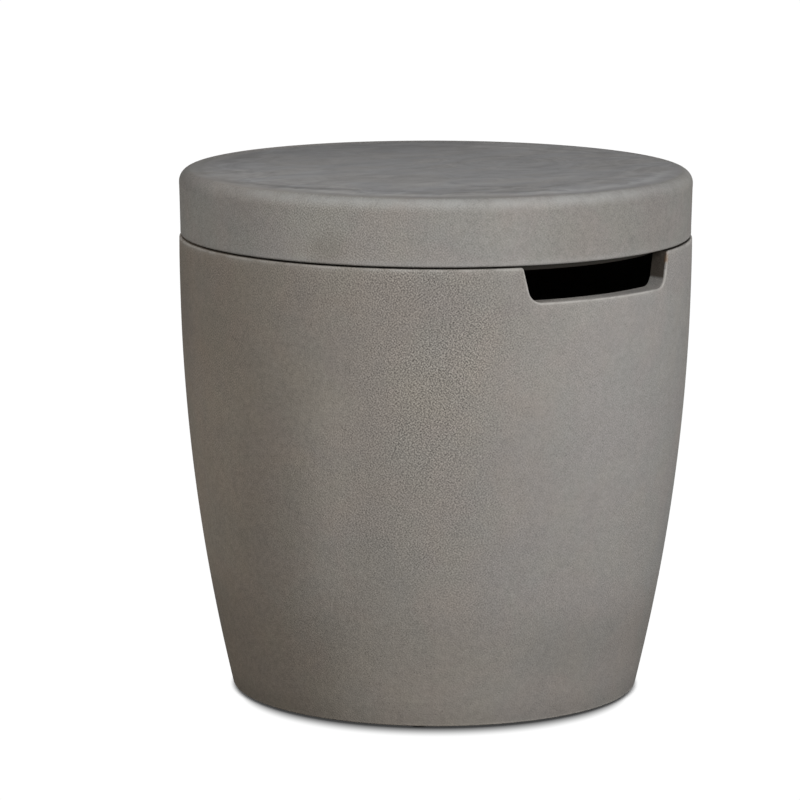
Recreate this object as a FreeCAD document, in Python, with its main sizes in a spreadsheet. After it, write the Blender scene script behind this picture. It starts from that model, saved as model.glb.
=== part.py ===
import FreeCAD, Part
import math
import os

import Sketcher
from FreeCAD import Placement, Rotation, Vector

# Round cast cover table for a standing gas cylinder.
# Origin: centre of the footprint on the floor, +Z up, millimetres.
# The front rim cut-out faces -Y, its twin faces +Y.

doc = FreeCAD.newDocument("tank_cover_table")

# ---------------------------------------------------------------- dimensions
sheet = doc.addObject("Spreadsheet::Sheet", "Dims")
DIMENSIONS = [
    # overall
    ("overall_height", 508.0),
    ("table_top_radius", 247.65),
    # lid casting
    ("lid_rim_round", 13.0),
    ("lid_foot_radius", 246.4),
    ("lid_foot_height", 444.5),
    ("lid_foot_round", 2.5),
    ("lid_plate", 18.0),
    ("lip_outer_radius", 224.0),
    ("lip_draft", 0.8),
    ("lip_drop", 7.5),
    ("lip_inner_radius", 208.0),
    ("hollow_roof_radius", 204.0),
    ("hollow_round", 10.0),
    ("lip_round", 1.5),
    # shell casting
    ("glide_stand", 2.0),
    ("shell_rim_height", 443.0),
    ("belly_radius", 247.6),
    ("belly_height", 431.6),
    ("side_arc_radius", 1840.0),
    ("wall_thickness", 14.0),
    ("rim_inner_radius", 228.0),
    ("rim_round", 1.6),
    ("foot_outer_round", 3.5),
    ("foot_inner_round", 2.0),
    ("flange_inner_radius", 166.0),
    ("flange_height", 26.0),
    ("flange_knee_height", 44.0),
    # rim cut-out, front and back
    ("cutout_half_width", 90.4),
    ("cutout_depth", 33.3),
    ("cutout_slant", 13.0),
    ("cutout_corner_round", 13.0),
    ("cutout_top_round", 3.0),
    # bumpers under the lid
    ("bumper_radius", 5.0),
    ("bumper_thickness", 1.3),
    ("bumper_edge_round", 0.4),
    ("bumper_circle_radius", 235.5),
    ("bumper_spread", 50.0),
    # glides, their screws and cast-in inserts
    ("glide_circle_radius", 181.5),
    ("glide_radius", 9.5),
    ("glide_thickness", 5.9),
    ("glide_edge_round", 1.0),
    ("glide_recess_radius", 9.8),
    ("glide_recess_depth", 4.0),
    ("glide_bore_radius", 2.75),
    ("glide_sink_radius", 5.0),
    ("glide_sink_depth", 1.35),
    ("screw_head_height", 1.3),
    ("screw_head_radius", 4.6),
    ("screw_head_land", 0.35),
    ("screw_head_cone", 2.15),
    ("screw_shank_radius", 2.45),
    ("screw_length", 16.0),
    ("screw_socket_flats", 3.0),
    ("screw_socket_depth", 1.7),
    ("insert_radius", 4.4),
    ("insert_collar_radius", 5.9),
    ("insert_collar_height", 2.0),
    ("insert_bore_radius", 2.5),
    ("insert_bottom_height", 6.05),
    ("insert_length", 12.95),
    ("insert_bore_depth", 11.8),
    ("insert_clearance", 0.05),
]
for row, (alias, value) in enumerate(DIMENSIONS, start=1):
    sheet.set("A%d" % row, alias)
    sheet.set("B%d" % row, "%g" % value)
    sheet.setAlias("B%d" % row, alias)
doc.recompute()
D = dict(DIMENSIONS)


# ------------------------------------------------------------------- helpers
def origin_feature(body, role):
    return [f for f in body.Origin.OriginFeatures if f.Role == role][0]


def new_body(label):
    body = doc.addObject("PartDesign::Body", label)
    body.Label = label
    return body


def new_sketch(body, name, role="XZ_Plane"):
    sk = body.newObject("Sketcher::SketchObject", name)
    sk.AttachmentSupport = [(origin_feature(body, role), "")]
    sk.MapMode = "FlatFace"
    return sk


def bind(sk, name, expression):
    sk.setExpression("Constraints." + name, expression)


def fix_point(sk, geo, pos, name, x, y, x_expr, y_expr):
    """Hold one sketch point at (x, y); a zero puts it on the axis."""
    if x_expr is None:
        sk.addConstraint(Sketcher.Constraint("PointOnObject", geo, pos, -2))
    else:
        i = sk.addConstraint(Sketcher.Constraint("DistanceX", -1, 1, geo, pos, x))
        sk.renameConstraint(i, name + "_x")
        bind(sk, name + "_x", x_expr)
    if y_expr is None:
        sk.addConstraint(Sketcher.Constraint("PointOnObject", geo, pos, -1))
    else:
        i = sk.addConstraint(Sketcher.Constraint("DistanceY", -1, 1, geo, pos, y))
        sk.renameConstraint(i, name + "_y")
        bind(sk, name + "_y", y_expr)


def polygon(sk, corners):
    """Closed outline of straight lines: (name, x, y, x_expr, y_expr) each."""
    n = len(corners)
    for i in range(n):
        a, b = corners[i], corners[(i + 1) % n]
        sk.addGeometry(
            Part.LineSegment(Vector(a[1], a[2], 0), Vector(b[1], b[2], 0)), False
        )
    for i in range(n):
        sk.addConstraint(Sketcher.Constraint("Coincident", i, 2, (i + 1) % n, 1))
    for i, c in enumerate(corners):
        fix_point(sk, i, 1, c[0], c[1], c[2], c[3], c[4])


def revolve(body, sk, name):
    rev = body.newObject("PartDesign::Revolution", name)
    rev.Profile = sk
    rev.ReferenceAxis = (sk, ["V_Axis"])
    rev.Angle = 360.0
    sk.Visibility = False
    doc.recompute()
    return rev


def edges_where(feature, test):
    return ["Edge%d" % (i + 1) for i, e in enumerate(feature.Shape.Edges) if test(e)]


def ring_edges(feature, radius, height, tol=0.02):
    """Full circles about +Z of this radius at this height."""

    def test(e):
        c = e.Curve
        return (
            isinstance(c, Part.Circle)
            and abs(c.Radius - radius) < tol
            and abs(c.Center.z - height) < tol
            and math.hypot(c.Center.x, c.Center.y) < tol
        )

    return edges_where(feature, test)


def fillet(body, base, edges, name, expression):
    if not edges:
        raise RuntimeError("no edges found for " + name)
    f = body.newObject("PartDesign::Fillet", name)
    f.Base = (base, edges)
    f.setExpression("Radius", expression)
    doc.recompute()
    if f.Shape.isNull():
        raise RuntimeError("%s failed on %d edges" % (name, len(edges)))
    return f


def belly_side(z, thickness=0.0):
    """Radius of the barrel side at height z, measured in by a thickness."""
    r = D["side_arc_radius"] - thickness
    return (D["belly_radius"] - D["side_arc_radius"]) + math.sqrt(
        r * r - (z - D["belly_height"]) ** 2
    )


# ------------------------------------------------------- body_shell (casting)
shell = new_body("body_shell")
sk = new_sketch(shell, "shell_profile")
z_foot, z_rim = D["glide_stand"], D["shell_rim_height"]
centre = Vector(D["belly_radius"] - D["side_arc_radius"], D["belly_height"], 0)
r_foot, r_rim = belly_side(z_foot), belly_side(z_rim)
r_in = D["rim_inner_radius"]
inner_arc = D["side_arc_radius"] - D["wall_thickness"]
z_meet = D["belly_height"] - math.sqrt(inner_arc**2 - (r_in - centre.x) ** 2)
r_knee = belly_side(D["flange_knee_height"], D["wall_thickness"])


def arc_between(radius, r1, z1, r2, z2):
    a1 = math.atan2(z1 - centre.y, r1 - centre.x)
    a2 = math.atan2(z2 - centre.y, r2 - centre.x)
    return Part.ArcOfCircle(Part.Circle(centre, Vector(0, 0, 1), radius), a1, a2)


# 0 outer side, 1 rim land, 2 rim bore, 3 inner side, 4 flange slope,
# 5 flange bore, 6 foot
sk.addGeometry(arc_between(D["side_arc_radius"], r_foot, z_foot, r_rim, z_rim), False)
sk.addGeometry(Part.LineSegment(Vector(r_rim, z_rim, 0), Vector(r_in, z_rim, 0)), False)
sk.addGeometry(Part.LineSegment(Vector(r_in, z_rim, 0), Vector(r_in, z_meet, 0)), False)
sk.addGeometry(
    arc_between(inner_arc, r_knee, D["flange_knee_height"], r_in, z_meet), False
)
sk.addGeometry(
    Part.LineSegment(
        Vector(r_knee, D["flange_knee_height"], 0),
        Vector(D["flange_inner_radius"], D["flange_height"], 0),
    ),
    False,
)
sk.addGeometry(
    Part.LineSegment(
        Vector(D["flange_inner_radius"], D["flange_height"], 0),
        Vector(D["flange_inner_radius"], z_foot, 0),
    ),
    False,
)
sk.addGeometry(
    Part.LineSegment(
        Vector(D["flange_inner_radius"], z_foot, 0), Vector(r_foot, z_foot, 0)
    ),
    False,
)
for a, pa, b, pb in (
    (0, 2, 1, 1),
    (1, 2, 2, 1),
    (2, 2, 3, 2),
    (3, 1, 4, 1),
    (4, 2, 5, 1),
    (5, 2, 6, 1),
    (6, 2, 0, 1),
    (0, 3, 3, 3),
):
    sk.addConstraint(Sketcher.Constraint("Coincident", a, pa, b, pb))
sk.addConstraint(Sketcher.Constraint("Horizontal", 1))
sk.addConstraint(Sketcher.Constraint("Vertical", 2))
sk.addConstraint(Sketcher.Constraint("Vertical", 5))
sk.addConstraint(Sketcher.Constraint("Horizontal", 6))


def named(sk, constraint, name, expression):
    i = sk.addConstraint(constraint)
    sk.renameConstraint(i, name)
    bind(sk, name, expression)


named(
    sk,
    Sketcher.Constraint("DistanceX", 0, 3, -1, 1, -centre.x),
    "side_centre_back",
    "Dims.side_arc_radius - Dims.belly_radius",
)
named(
    sk,
    Sketcher.Constraint("DistanceY", -1, 1, 0, 3, centre.y),
    "side_centre_up",
    "Dims.belly_height",
)
named(
    sk,
    Sketcher.Constraint("Radius", 0, D["side_arc_radius"]),
    "outer_side",
    "Dims.side_arc_radius",
)
named(
    sk,
    Sketcher.Constraint("Radius", 3, inner_arc),
    "inner_side",
    "Dims.side_arc_radius - Dims.wall_thickness",
)
named(
    sk,
    Sketcher.Constraint("DistanceY", -1, 1, 1, 1, z_rim),
    "rim_up",
    "Dims.shell_rim_height",
)
named(
    sk,
    Sketcher.Constraint("DistanceX", -1, 1, 2, 1, r_in),
    "rim_bore",
    "Dims.rim_inner_radius",
)
named(
    sk,
    Sketcher.Constraint("DistanceY", -1, 1, 4, 1, D["flange_knee_height"]),
    "knee_up",
    "Dims.flange_knee_height",
)
named(
    sk,
    Sketcher.Constraint("DistanceY", -1, 1, 5, 1, D["flange_height"]),
    "flange_up",
    "Dims.flange_height",
)
named(
    sk,
    Sketcher.Constraint("DistanceX", -1, 1, 5, 1, D["flange_inner_radius"]),
    "flange_bore",
    "Dims.flange_inner_radius",
)
named(
    sk,
    Sketcher.Constraint("DistanceY", -1, 1, 6, 1, z_foot),
    "foot_up",
    "Dims.glide_stand",
)
wall = revolve(shell, sk, "shell_wall")

# eased foot
foot_out = fillet(
    shell,
    wall,
    ring_edges(wall, r_foot, z_foot),
    "foot_outer_easing",
    "Dims.foot_outer_round",
)
foot_in = fillet(
    shell,
    foot_out,
    ring_edges(foot_out, D["flange_inner_radius"], z_foot),
    "foot_inner_easing",
    "Dims.foot_inner_round",
)

# the two rim cut-outs, cut straight through front to back
sk = new_sketch(shell, "cutout_outline")
slant = math.radians(D["cutout_slant"])
w_top = D["cutout_half_width"]
z_sill = z_rim - D["cutout_depth"]
r_c = D["cutout_corner_round"]
over = 12.0  # the outline runs on past the rim
w_sill = w_top - D["cutout_depth"] * math.tan(slant)
w_over = w_top + over * math.tan(slant)
# corner arc centre and its touching points
x_c = w_sill + r_c * math.tan(slant) - r_c / math.cos(slant)
z_c = z_sill + r_c
tx, tz = x_c + r_c * math.cos(slant), z_c - r_c * math.sin(slant)
sk.addGeometry(
    Part.LineSegment(Vector(w_over, z_rim + over, 0), Vector(tx, tz, 0)), False
)
sk.addGeometry(
    Part.ArcOfCircle(
        Part.Circle(Vector(x_c, z_c, 0), Vector(0, 0, 1), r_c), -math.pi / 2, -slant
    ),
    False,
)
sk.addGeometry(
    Part.LineSegment(Vector(x_c, z_sill, 0), Vector(-x_c, z_sill, 0)), False
)
sk.addGeometry(
    Part.ArcOfCircle(
        Part.Circle(Vector(-x_c, z_c, 0), Vector(0, 0, 1), r_c),
        math.pi + slant,
        1.5 * math.pi,
    ),
    False,
)
sk.addGeometry(
    Part.LineSegment(Vector(-tx, tz, 0), Vector(-w_over, z_rim + over, 0)), False
)
sk.addGeometry(
    Part.LineSegment(
        Vector(-w_over, z_rim + over, 0), Vector(w_over, z_rim + over, 0)
    ),
    False,
)
for a, pa, b, pb in ((0, 2, 1, 2), (2, 1, 1, 1), (2, 2, 3, 2), (4, 1, 3, 1)):
    sk.addConstraint(Sketcher.Constraint("Tangent", a, pa, b, pb))
sk.addConstraint(Sketcher.Constraint("Coincident", 4, 2, 5, 1))
sk.addConstraint(Sketcher.Constraint("Coincident", 5, 2, 0, 1))
sk.addConstraint(Sketcher.Constraint("Symmetric", 5, 1, 5, 2, -2))
sk.addConstraint(Sketcher.Constraint("Equal", 1, 3))
sk.addConstraint(Sketcher.Constraint("Symmetric", 2, 1, 2, 2, -2))
named(
    sk, Sketcher.Constraint("Radius", 1, r_c), "corner", "Dims.cutout_corner_round"
)
named(
    sk,
    Sketcher.Constraint("DistanceY", -1, 1, 2, 1, z_sill),
    "sill_up",
    "Dims.shell_rim_height - Dims.cutout_depth",
)
named(
    sk,
    Sketcher.Constraint("DistanceY", -1, 1, 5, 2, z_rim + over),
    "outline_up",
    "Dims.shell_rim_height + %g" % over,
)
named(
    sk,
    Sketcher.Constraint("DistanceX", -1, 1, 5, 2, w_over),
    "half_width",
    "Dims.cutout_half_width + %g * tan(Dims.cutout_slant)" % over,
)
named(
    sk,
    Sketcher.Constraint("DistanceX", -1, 1, 0, 2, tx),
    "slanted_side",
    "Dims.cutout_half_width - (Dims.cutout_depth - Dims.cutout_corner_round"
    " * (1 - sin(Dims.cutout_slant))) * tan(Dims.cutout_slant)",
)
doc.recompute()
volume_before = foot_in.Shape.Volume
cutouts = shell.newObject("PartDesign::Pocket", "rim_cutouts")
cutouts.Profile = sk
cutouts.Type = 1  # through all
cutouts.SideType = "Symmetric"
sk.Visibility = False
doc.recompute()
removed = volume_before - cutouts.Shape.Volume
print("rim cut-outs remove %.0f mm3" % removed)
if removed < 150000:
    raise RuntimeError("the rim cut-outs removed too little")


# eased corners where each cut-out opens through the rim land, then eased
# arrises round both mouths of the cut-outs and along the rim
def ends_apart(e):
    p, q = e.Vertexes[0].Point, e.Vertexes[-1].Point
    return abs(math.hypot(p.x, p.y) - math.hypot(q.x, q.y))


def on_rim_land(e):
    return abs(e.BoundBox.ZMin - z_rim) < 0.01 and abs(e.BoundBox.ZMax - z_rim) < 0.01


def cutout_corner(e):
    return on_rim_land(e) and ends_apart(e) > 5.0


def arris(e):
    if on_rim_land(e):
        return isinstance(e.Curve, Part.Circle)
    if e.BoundBox.ZMin < z_sill - 0.5 or abs(e.CenterOfMass.y) < 100:
        return False
    return abs(e.CenterOfMass.x) < w_top + 6 and ends_apart(e) < 1.0


corners = fillet(
    shell,
    cutouts,
    edges_where(cutouts, cutout_corner),
    "cutout_corner_easing",
    "Dims.cutout_top_round",
)
before = corners.Shape.Volume
eased = fillet(
    shell,
    corners,
    edges_where(corners, arris),
    "rim_and_cutout_easing",
    "Dims.rim_round",
)
print("easing removes %.0f mm3" % (before - eased.Shape.Volume))
if not 1200 < before - eased.Shape.Volume < 2400:
    raise RuntimeError("the rim easing is not the expected volume")

# recess, sunk hole and collar seat for one glide, then four of them
sk = new_sketch(shell, "glide_seat")
sk.AttachmentOffset = Placement(Vector(0, 0, 0), Rotation(Vector(0, 1, 0), 45))
c_r = D["glide_circle_radius"]
gap = D["insert_clearance"]
z_recess = D["glide_stand"] + D["glide_recess_depth"]
z_seat = D["insert_bottom_height"] + D["insert_length"] - D["insert_collar_height"]
z_end = D["insert_bottom_height"] + D["insert_length"]
ci = "Dims.glide_circle_radius"
top_seat = "Dims.insert_bottom_height + Dims.insert_length"
polygon(
    sk,
    [
        ("a", c_r, z_foot - 1, ci, "Dims.glide_stand - 1"),
        (
            "b",
            c_r + D["glide_recess_radius"],
            z_foot - 1,
            ci + " + Dims.glide_recess_radius",
            "Dims.glide_stand - 1",
        ),
        (
            "c",
            c_r + D["glide_recess_radius"],
            z_recess,
            ci + " + Dims.glide_recess_radius",
            "Dims.glide_stand + Dims.glide_recess_depth",
        ),
        (
            "d",
            c_r + D["insert_radius"] + gap,
            z_recess,
            ci + " + Dims.insert_radius + Dims.insert_clearance",
            "Dims.glide_stand + Dims.glide_recess_depth",
        ),
        (
            "e",
            c_r + D["insert_radius"] + gap,
            z_seat - gap,
            ci + " + Dims.insert_radius + Dims.insert_clearance",
            top_seat + " - Dims.insert_collar_height - Dims.insert_clearance",
        ),
        (
            "f",
            c_r + D["insert_collar_radius"] + gap,
            z_seat - gap,
            ci + " + Dims.insert_collar_radius + Dims.insert_clearance",
            top_seat + " - Dims.insert_collar_height - Dims.insert_clearance",
        ),
        (
            "g",
            c_r + D["insert_collar_radius"] + gap,
            z_end + gap,
            ci + " + Dims.insert_collar_radius + Dims.insert_clearance",
            top_seat + " + Dims.insert_clearance",
        ),
        ("k", c_r, z_end + gap, ci, top_seat + " + Dims.insert_clearance"),
    ],
)
axis = sk.addGeometry(
    Part.LineSegment(Vector(c_r, z_foot - 1, 0), Vector(c_r, z_end + gap, 0)), True
)
sk.addConstraint(Sketcher.Constraint("Coincident", axis, 1, 0, 1))
sk.addConstraint(Sketcher.Constraint("Coincident", axis, 2, 7, 1))
doc.recompute()
seat = shell.newObject("PartDesign::Groove", "glide_seat_cut")
seat.Profile = sk
seat.ReferenceAxis = (sk, ["Axis0"])
seat.Angle = 360.0
sk.Visibility = False
doc.recompute()
print("one glide seat removes %.0f mm3" % (eased.Shape.Volume - seat.Shape.Volume))
seats = shell.newObject("PartDesign::PolarPattern", "glide_seats")
seats.Originals = [seat]
seats.Axis = (origin_feature(shell, "Z_Axis"), [""])
seats.Angle = 360.0
seats.Occurrences = 4
shell.Tip = seats
doc.recompute()
print("four glide seats remove %.0f mm3" % (eased.Shape.Volume - seats.Shape.Volume))
if eased.Shape.Volume - seats.Shape.Volume < 4 * 1500:
    raise RuntimeError("the glide seats removed too little")

# ------------------------------------------------------------- lid (casting)
lid = new_body("lid")
sk = new_sketch(lid, "lid_profile")
H = D["overall_height"]
r_t, r_r = D["table_top_radius"], D["lid_rim_round"]
z_l = D["lid_foot_height"]
z_roof = H - D["lid_plate"]
z_lip = z_l - D["lip_drop"]
ax, az = r_t - r_r, H - r_r
# side line from the foot, touching the rim rounding
dx, dz = ax - D["lid_foot_radius"], az - z_l
dist = math.hypot(dx, dz)
turn = math.atan2(dz, dx) - math.asin(r_r / dist)
touch = math.sqrt(dist**2 - r_r**2)
tx, tz = D["lid_foot_radius"] + touch * math.cos(turn), z_l + touch * math.sin(turn)
pts = {
    "axis_top": (0, H),
    "flat_end": (ax, H),
    "side_top": (tx, tz),
    "foot": (D["lid_foot_radius"], z_l),
    "lip_root": (D["lip_outer_radius"], z_l),
    "lip_toe": (D["lip_outer_radius"] - D["lip_draft"], z_lip),
    "lip_heel": (D["lip_inner_radius"], z_lip),
    "roof_edge": (D["hollow_roof_radius"], z_roof),
    "axis_roof": (0, z_roof),
}
V = {k: Vector(p[0], p[1], 0) for k, p in pts.items()}
# 0 top, 1 rim rounding, 2 side, 3 foot land, 4 lip face, 5 lip toe,
# 6 hollow wall, 7 hollow roof, 8 along the axis
sk.addGeometry(Part.LineSegment(V["axis_top"], V["flat_end"]), False)
sk.addGeometry(
    Part.ArcOfCircle(
        Part.Circle(Vector(ax, az, 0), Vector(0, 0, 1), r_r),
        math.atan2(tz - az, tx - ax),
        math.pi / 2,
    ),
    False,
)
sk.addGeometry(Part.LineSegment(V["side_top"], V["foot"]), False)
sk.addGeometry(Part.LineSegment(V["foot"], V["lip_root"]), False)
sk.addGeometry(Part.LineSegment(V["lip_root"], V["lip_toe"]), False)
sk.addGeometry(Part.LineSegment(V["lip_toe"], V["lip_heel"]), False)
sk.addGeometry(Part.LineSegment(V["lip_heel"], V["roof_edge"]), False)
sk.addGeometry(Part.LineSegment(V["roof_edge"], V["axis_roof"]), False)
sk.addGeometry(Part.LineSegment(V["axis_roof"], V["axis_top"]), False)
sk.addConstraint(Sketcher.Constraint("Tangent", 0, 2, 1, 2))
sk.addConstraint(Sketcher.Constraint("Tangent", 1, 1, 2, 1))
for a in range(2, 8):
    sk.addConstraint(Sketcher.Constraint("Coincident", a, 2, a + 1, 1))
sk.addConstraint(Sketcher.Constraint("Coincident", 8, 2, 0, 1))
sk.addConstraint(Sketcher.Constraint("Horizontal", 0))
sk.addConstraint(Sketcher.Constraint("Horizontal", 3))
sk.addConstraint(Sketcher.Constraint("Horizontal", 5))
sk.addConstraint(Sketcher.Constraint("Horizontal", 7))
sk.addConstraint(Sketcher.Constraint("PointOnObject", 0, 1, -2))
sk.addConstraint(Sketcher.Constraint("PointOnObject", 8, 1, -2))
named(
    sk, Sketcher.Constraint("Radius", 1, r_r), "rim_round", "Dims.lid_rim_round"
)
named(
    sk,
    Sketcher.Constraint("DistanceX", -1, 1, 1, 3, ax),
    "rim_centre_out",
    "Dims.table_top_radius - Dims.lid_rim_round",
)
named(
    sk,
    Sketcher.Constraint("DistanceY", -1, 1, 0, 1, H),
    "top_up",
    "Dims.overall_height",
)
named(
    sk,
    Sketcher.Constraint("DistanceX", -1, 1, 2, 2, D["lid_foot_radius"]),
    "foot_out",
    "Dims.lid_foot_radius",
)
named(
    sk,
    Sketcher.Constraint("DistanceY", -1, 1, 2, 2, z_l),
    "foot_up",
    "Dims.lid_foot_height",
)
named(
    sk,
    Sketcher.Constraint("DistanceX", -1, 1, 4, 1, D["lip_outer_radius"]),
    "lip_out",
    "Dims.lip_outer_radius",
)
named(
    sk,
    Sketcher.Constraint(
        "DistanceX", -1, 1, 4, 2, D["lip_outer_radius"] - D["lip_draft"]
    ),
    "lip_toe_out",
    "Dims.lip_outer_radius - Dims.lip_draft",
)
named(
    sk,
    Sketcher.Constraint("DistanceY", -1, 1, 4, 2, z_lip),
    "lip_up",
    "Dims.lid_foot_height - Dims.lip_drop",
)
named(
    sk,
    Sketcher.Constraint("DistanceX", -1, 1, 6, 1, D["lip_inner_radius"]),
    "lip_in",
    "Dims.lip_inner_radius",
)
named(
    sk,
    Sketcher.Constraint("DistanceX", -1, 1, 6, 2, D["hollow_roof_radius"]),
    "roof_out",
    "Dims.hollow_roof_radius",
)
named(
    sk,
    Sketcher.Constraint("DistanceY", -1, 1, 6, 2, z_roof),
    "roof_up",
    "Dims.overall_height - Dims.lid_plate",
)
dish = revolve(lid, sk, "lid_dish")
foot_ease = fillet(
    lid,
    dish,
    ring_edges(dish, D["lid_foot_radius"], z_l),
    "lid_foot_easing",
    "Dims.lid_foot_round",
)
lip_ease = fillet(
    lid,
    foot_ease,
    ring_edges(foot_ease, D["lip_outer_radius"] - D["lip_draft"], z_lip)
    + ring_edges(foot_ease, D["lip_inner_radius"], z_lip),
    "lip_easing",
    "Dims.lip_round",
)
roof_ease = fillet(
    lid,
    lip_ease,
    ring_edges(lip_ease, D["hollow_roof_radius"], z_roof),
    "hollow_easing",
    "Dims.hollow_round",
)

# ------------------------------------ bumpers between rim and lid (moulded)
BUMPERS = [
    ("lid_bumper_right", 0, "0"),
    ("lid_bumper_back_right", 1, "Dims.bumper_spread"),
    ("lid_bumper_back_left", 2, "180 - Dims.bumper_spread"),
    ("lid_bumper_left", 3, "180"),
    ("lid_bumper_front_left", 4, "180 + Dims.bumper_spread"),
    ("lid_bumper_front_right", 5, "360 - Dims.bumper_spread"),
]
bumpers = []
for label, _, angle in BUMPERS:
    b = new_body(label)
    sk = new_sketch(b, label + "_profile")
    r, t = D["bumper_radius"], D["bumper_thickness"]
    polygon(
        sk,
        [
            ("a", 0, 0, None, None),
            ("b", r, 0, "Dims.bumper_radius", None),
            ("c", r, t, "Dims.bumper_radius", "Dims.bumper_thickness"),
            ("d", 0, t, None, "Dims.bumper_thickness"),
        ],
    )
    disc = revolve(b, sk, label + "_disc")
    fillet(b, disc, ring_edges(disc, r, t), label + "_easing", "Dims.bumper_edge_round")
    b.setExpression(
        "Placement.Base.x", "Dims.bumper_circle_radius * cos(%s)" % angle
    )
    b.setExpression(
        "Placement.Base.y", "Dims.bumper_circle_radius * sin(%s)" % angle
    )
    b.setExpression("Placement.Base.z", "Dims.shell_rim_height")
    bumpers.append(b)

# ----------------------------------------- glides, screws and their inserts
SEATS = [
    ("front_right", "315"),
    ("back_right", "45"),
    ("back_left", "135"),
    ("front_left", "225"),
]


def place_at_seat(obj, angle):
    obj.setExpression(
        "Placement.Base.x", "Dims.glide_circle_radius * cos(%s)" % angle
    )
    obj.setExpression(
        "Placement.Base.y", "Dims.glide_circle_radius * sin(%s)" % angle
    )


glides, screws, inserts = [], [], []
for where, angle in SEATS:
    # glide: low rubber button with a sunk, bored centre
    b = new_body("base_glide_" + where)
    sk = new_sketch(b, "glide_profile_" + where)
    g, t = D["glide_radius"], D["glide_thickness"]
    bore, sink = D["glide_bore_radius"], D["glide_sink_radius"]
    sd = D["glide_sink_depth"]
    sink_end = "Dims.glide_sink_depth + Dims.glide_sink_radius - Dims.glide_bore_radius"
    polygon(
        sk,
        [
            ("a", sink, 0, "Dims.glide_sink_radius", None),
            ("b", g, 0, "Dims.glide_radius", None),
            ("c", g, t, "Dims.glide_radius", "Dims.glide_thickness"),
            ("d", bore, t, "Dims.glide_bore_radius", "Dims.glide_thickness"),
            ("e", bore, sd + sink - bore, "Dims.glide_bore_radius", sink_end),
            ("f", sink, sd, "Dims.glide_sink_radius", "Dims.glide_sink_depth"),
        ],
    )
    button = revolve(b, sk, "glide_button_" + where)
    fillet(
        b, button, ring_edges(button, g, 0), "glide_easing_" + where,
        "Dims.glide_edge_round",
    )
    place_at_seat(b, angle)
    glides.append(b)

    # screw: flat head below, plain shank for the thread, hexagon socket
    b = new_body("glide_screw_" + where)
    sk = new_sketch(b, "screw_profile_" + where)
    z0 = D["screw_head_height"]
    hr, sr = D["screw_head_radius"], D["screw_shank_radius"]
    land, cone = D["screw_head_land"], D["screw_head_cone"]
    head, shank = "Dims.screw_head_radius", "Dims.screw_shank_radius"
    base = "Dims.screw_head_height"
    polygon(
        sk,
        [
            ("a", 0, z0, None, base),
            ("b", hr, z0, head, base),
            ("c", hr, z0 + land, head, base + " + Dims.screw_head_land"),
            (
                "d",
                sr,
                z0 + land + cone,
                shank,
                base + " + Dims.screw_head_land + Dims.screw_head_cone",
            ),
            (
                "e",
                sr,
                z0 + D["screw_length"],
                shank,
                base + " + Dims.screw_length",
            ),
            ("f", 0, z0 + D["screw_length"], None, base + " + Dims.screw_length"),
        ],
    )
    turned = revolve(b, sk, "screw_turned_" + where)
    sk = new_sketch(b, "screw_socket_outline_" + where, "XY_Plane")
    sk.AttachmentOffset = Placement(Vector(0, 0, z0), Rotation())
    sk.setExpression("AttachmentOffset.Base.z", base)
    across = D["screw_socket_flats"] / math.sqrt(3)
    corner = [
        Vector(
            across * math.cos(math.radians(60 * i)),
            across * math.sin(math.radians(60 * i)),
            0,
        )
        for i in range(6)
    ]
    for i in range(6):
        sk.addGeometry(Part.LineSegment(corner[i], corner[(i + 1) % 6]), False)
    ring = sk.addGeometry(
        Part.Circle(Vector(0, 0, 0), Vector(0, 0, 1), across), True
    )
    for i in range(6):
        sk.addConstraint(Sketcher.Constraint("Coincident", i, 2, (i + 1) % 6, 1))
        sk.addConstraint(Sketcher.Constraint("PointOnObject", i, 1, ring))
        if i:
            sk.addConstraint(Sketcher.Constraint("Equal", 0, i))
    sk.addConstraint(Sketcher.Constraint("Coincident", ring, 3, -1, 1))
    sk.addConstraint(Sketcher.Constraint("PointOnObject", 0, 1, -1))
    named(
        sk,
        Sketcher.Constraint("Radius", ring, across),
        "across_corners",
        "Dims.screw_socket_flats / sqrt(3)",
    )
    doc.recompute()
    socket = b.newObject("PartDesign::Pocket", "screw_socket_" + where)
    socket.Profile = sk
    socket.Type = 0
    socket.Reversed = True
    socket.setExpression("Length", "Dims.screw_socket_depth")
    sk.Visibility = False
    doc.recompute()
    if turned.Shape.Volume - socket.Shape.Volume < 5:
        raise RuntimeError("the screw's socket removed too little")
    place_at_seat(b, angle)
    screws.append(b)

    # insert: blind bush with a collar at its buried end
    b = new_body("glide_insert_" + where)
    sk = new_sketch(b, "insert_profile_" + where)
    z0, L = D["insert_bottom_height"], D["insert_length"]
    ir, cr, br = D["insert_radius"], D["insert_collar_radius"], D["insert_bore_radius"]
    zb = "Dims.insert_bottom_height"
    polygon(
        sk,
        [
            ("a", br, z0, "Dims.insert_bore_radius", zb),
            ("b", ir, z0, "Dims.insert_radius", zb),
            (
                "c",
                ir,
                z0 + L - D["insert_collar_height"],
                "Dims.insert_radius",
                zb + " + Dims.insert_length - Dims.insert_collar_height",
            ),
            (
                "d",
                cr,
                z0 + L - D["insert_collar_height"],
                "Dims.insert_collar_radius",
                zb + " + Dims.insert_length - Dims.insert_collar_height",
            ),
            (
                "e",
                cr,
                z0 + L,
                "Dims.insert_collar_radius",
                zb + " + Dims.insert_length",
            ),
            ("f", 0, z0 + L, None, zb + " + Dims.insert_length"),
            (
                "g",
                0,
                z0 + D["insert_bore_depth"],
                None,
                zb + " + Dims.insert_bore_depth",
            ),
            (
                "k",
                br,
                z0 + D["insert_bore_depth"],
                "Dims.insert_bore_radius",
                zb + " + Dims.insert_bore_depth",
            ),
        ],
    )
    revolve(b, sk, "insert_bush_" + where)
    place_at_seat(b, angle)
    inserts.append(b)

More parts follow.
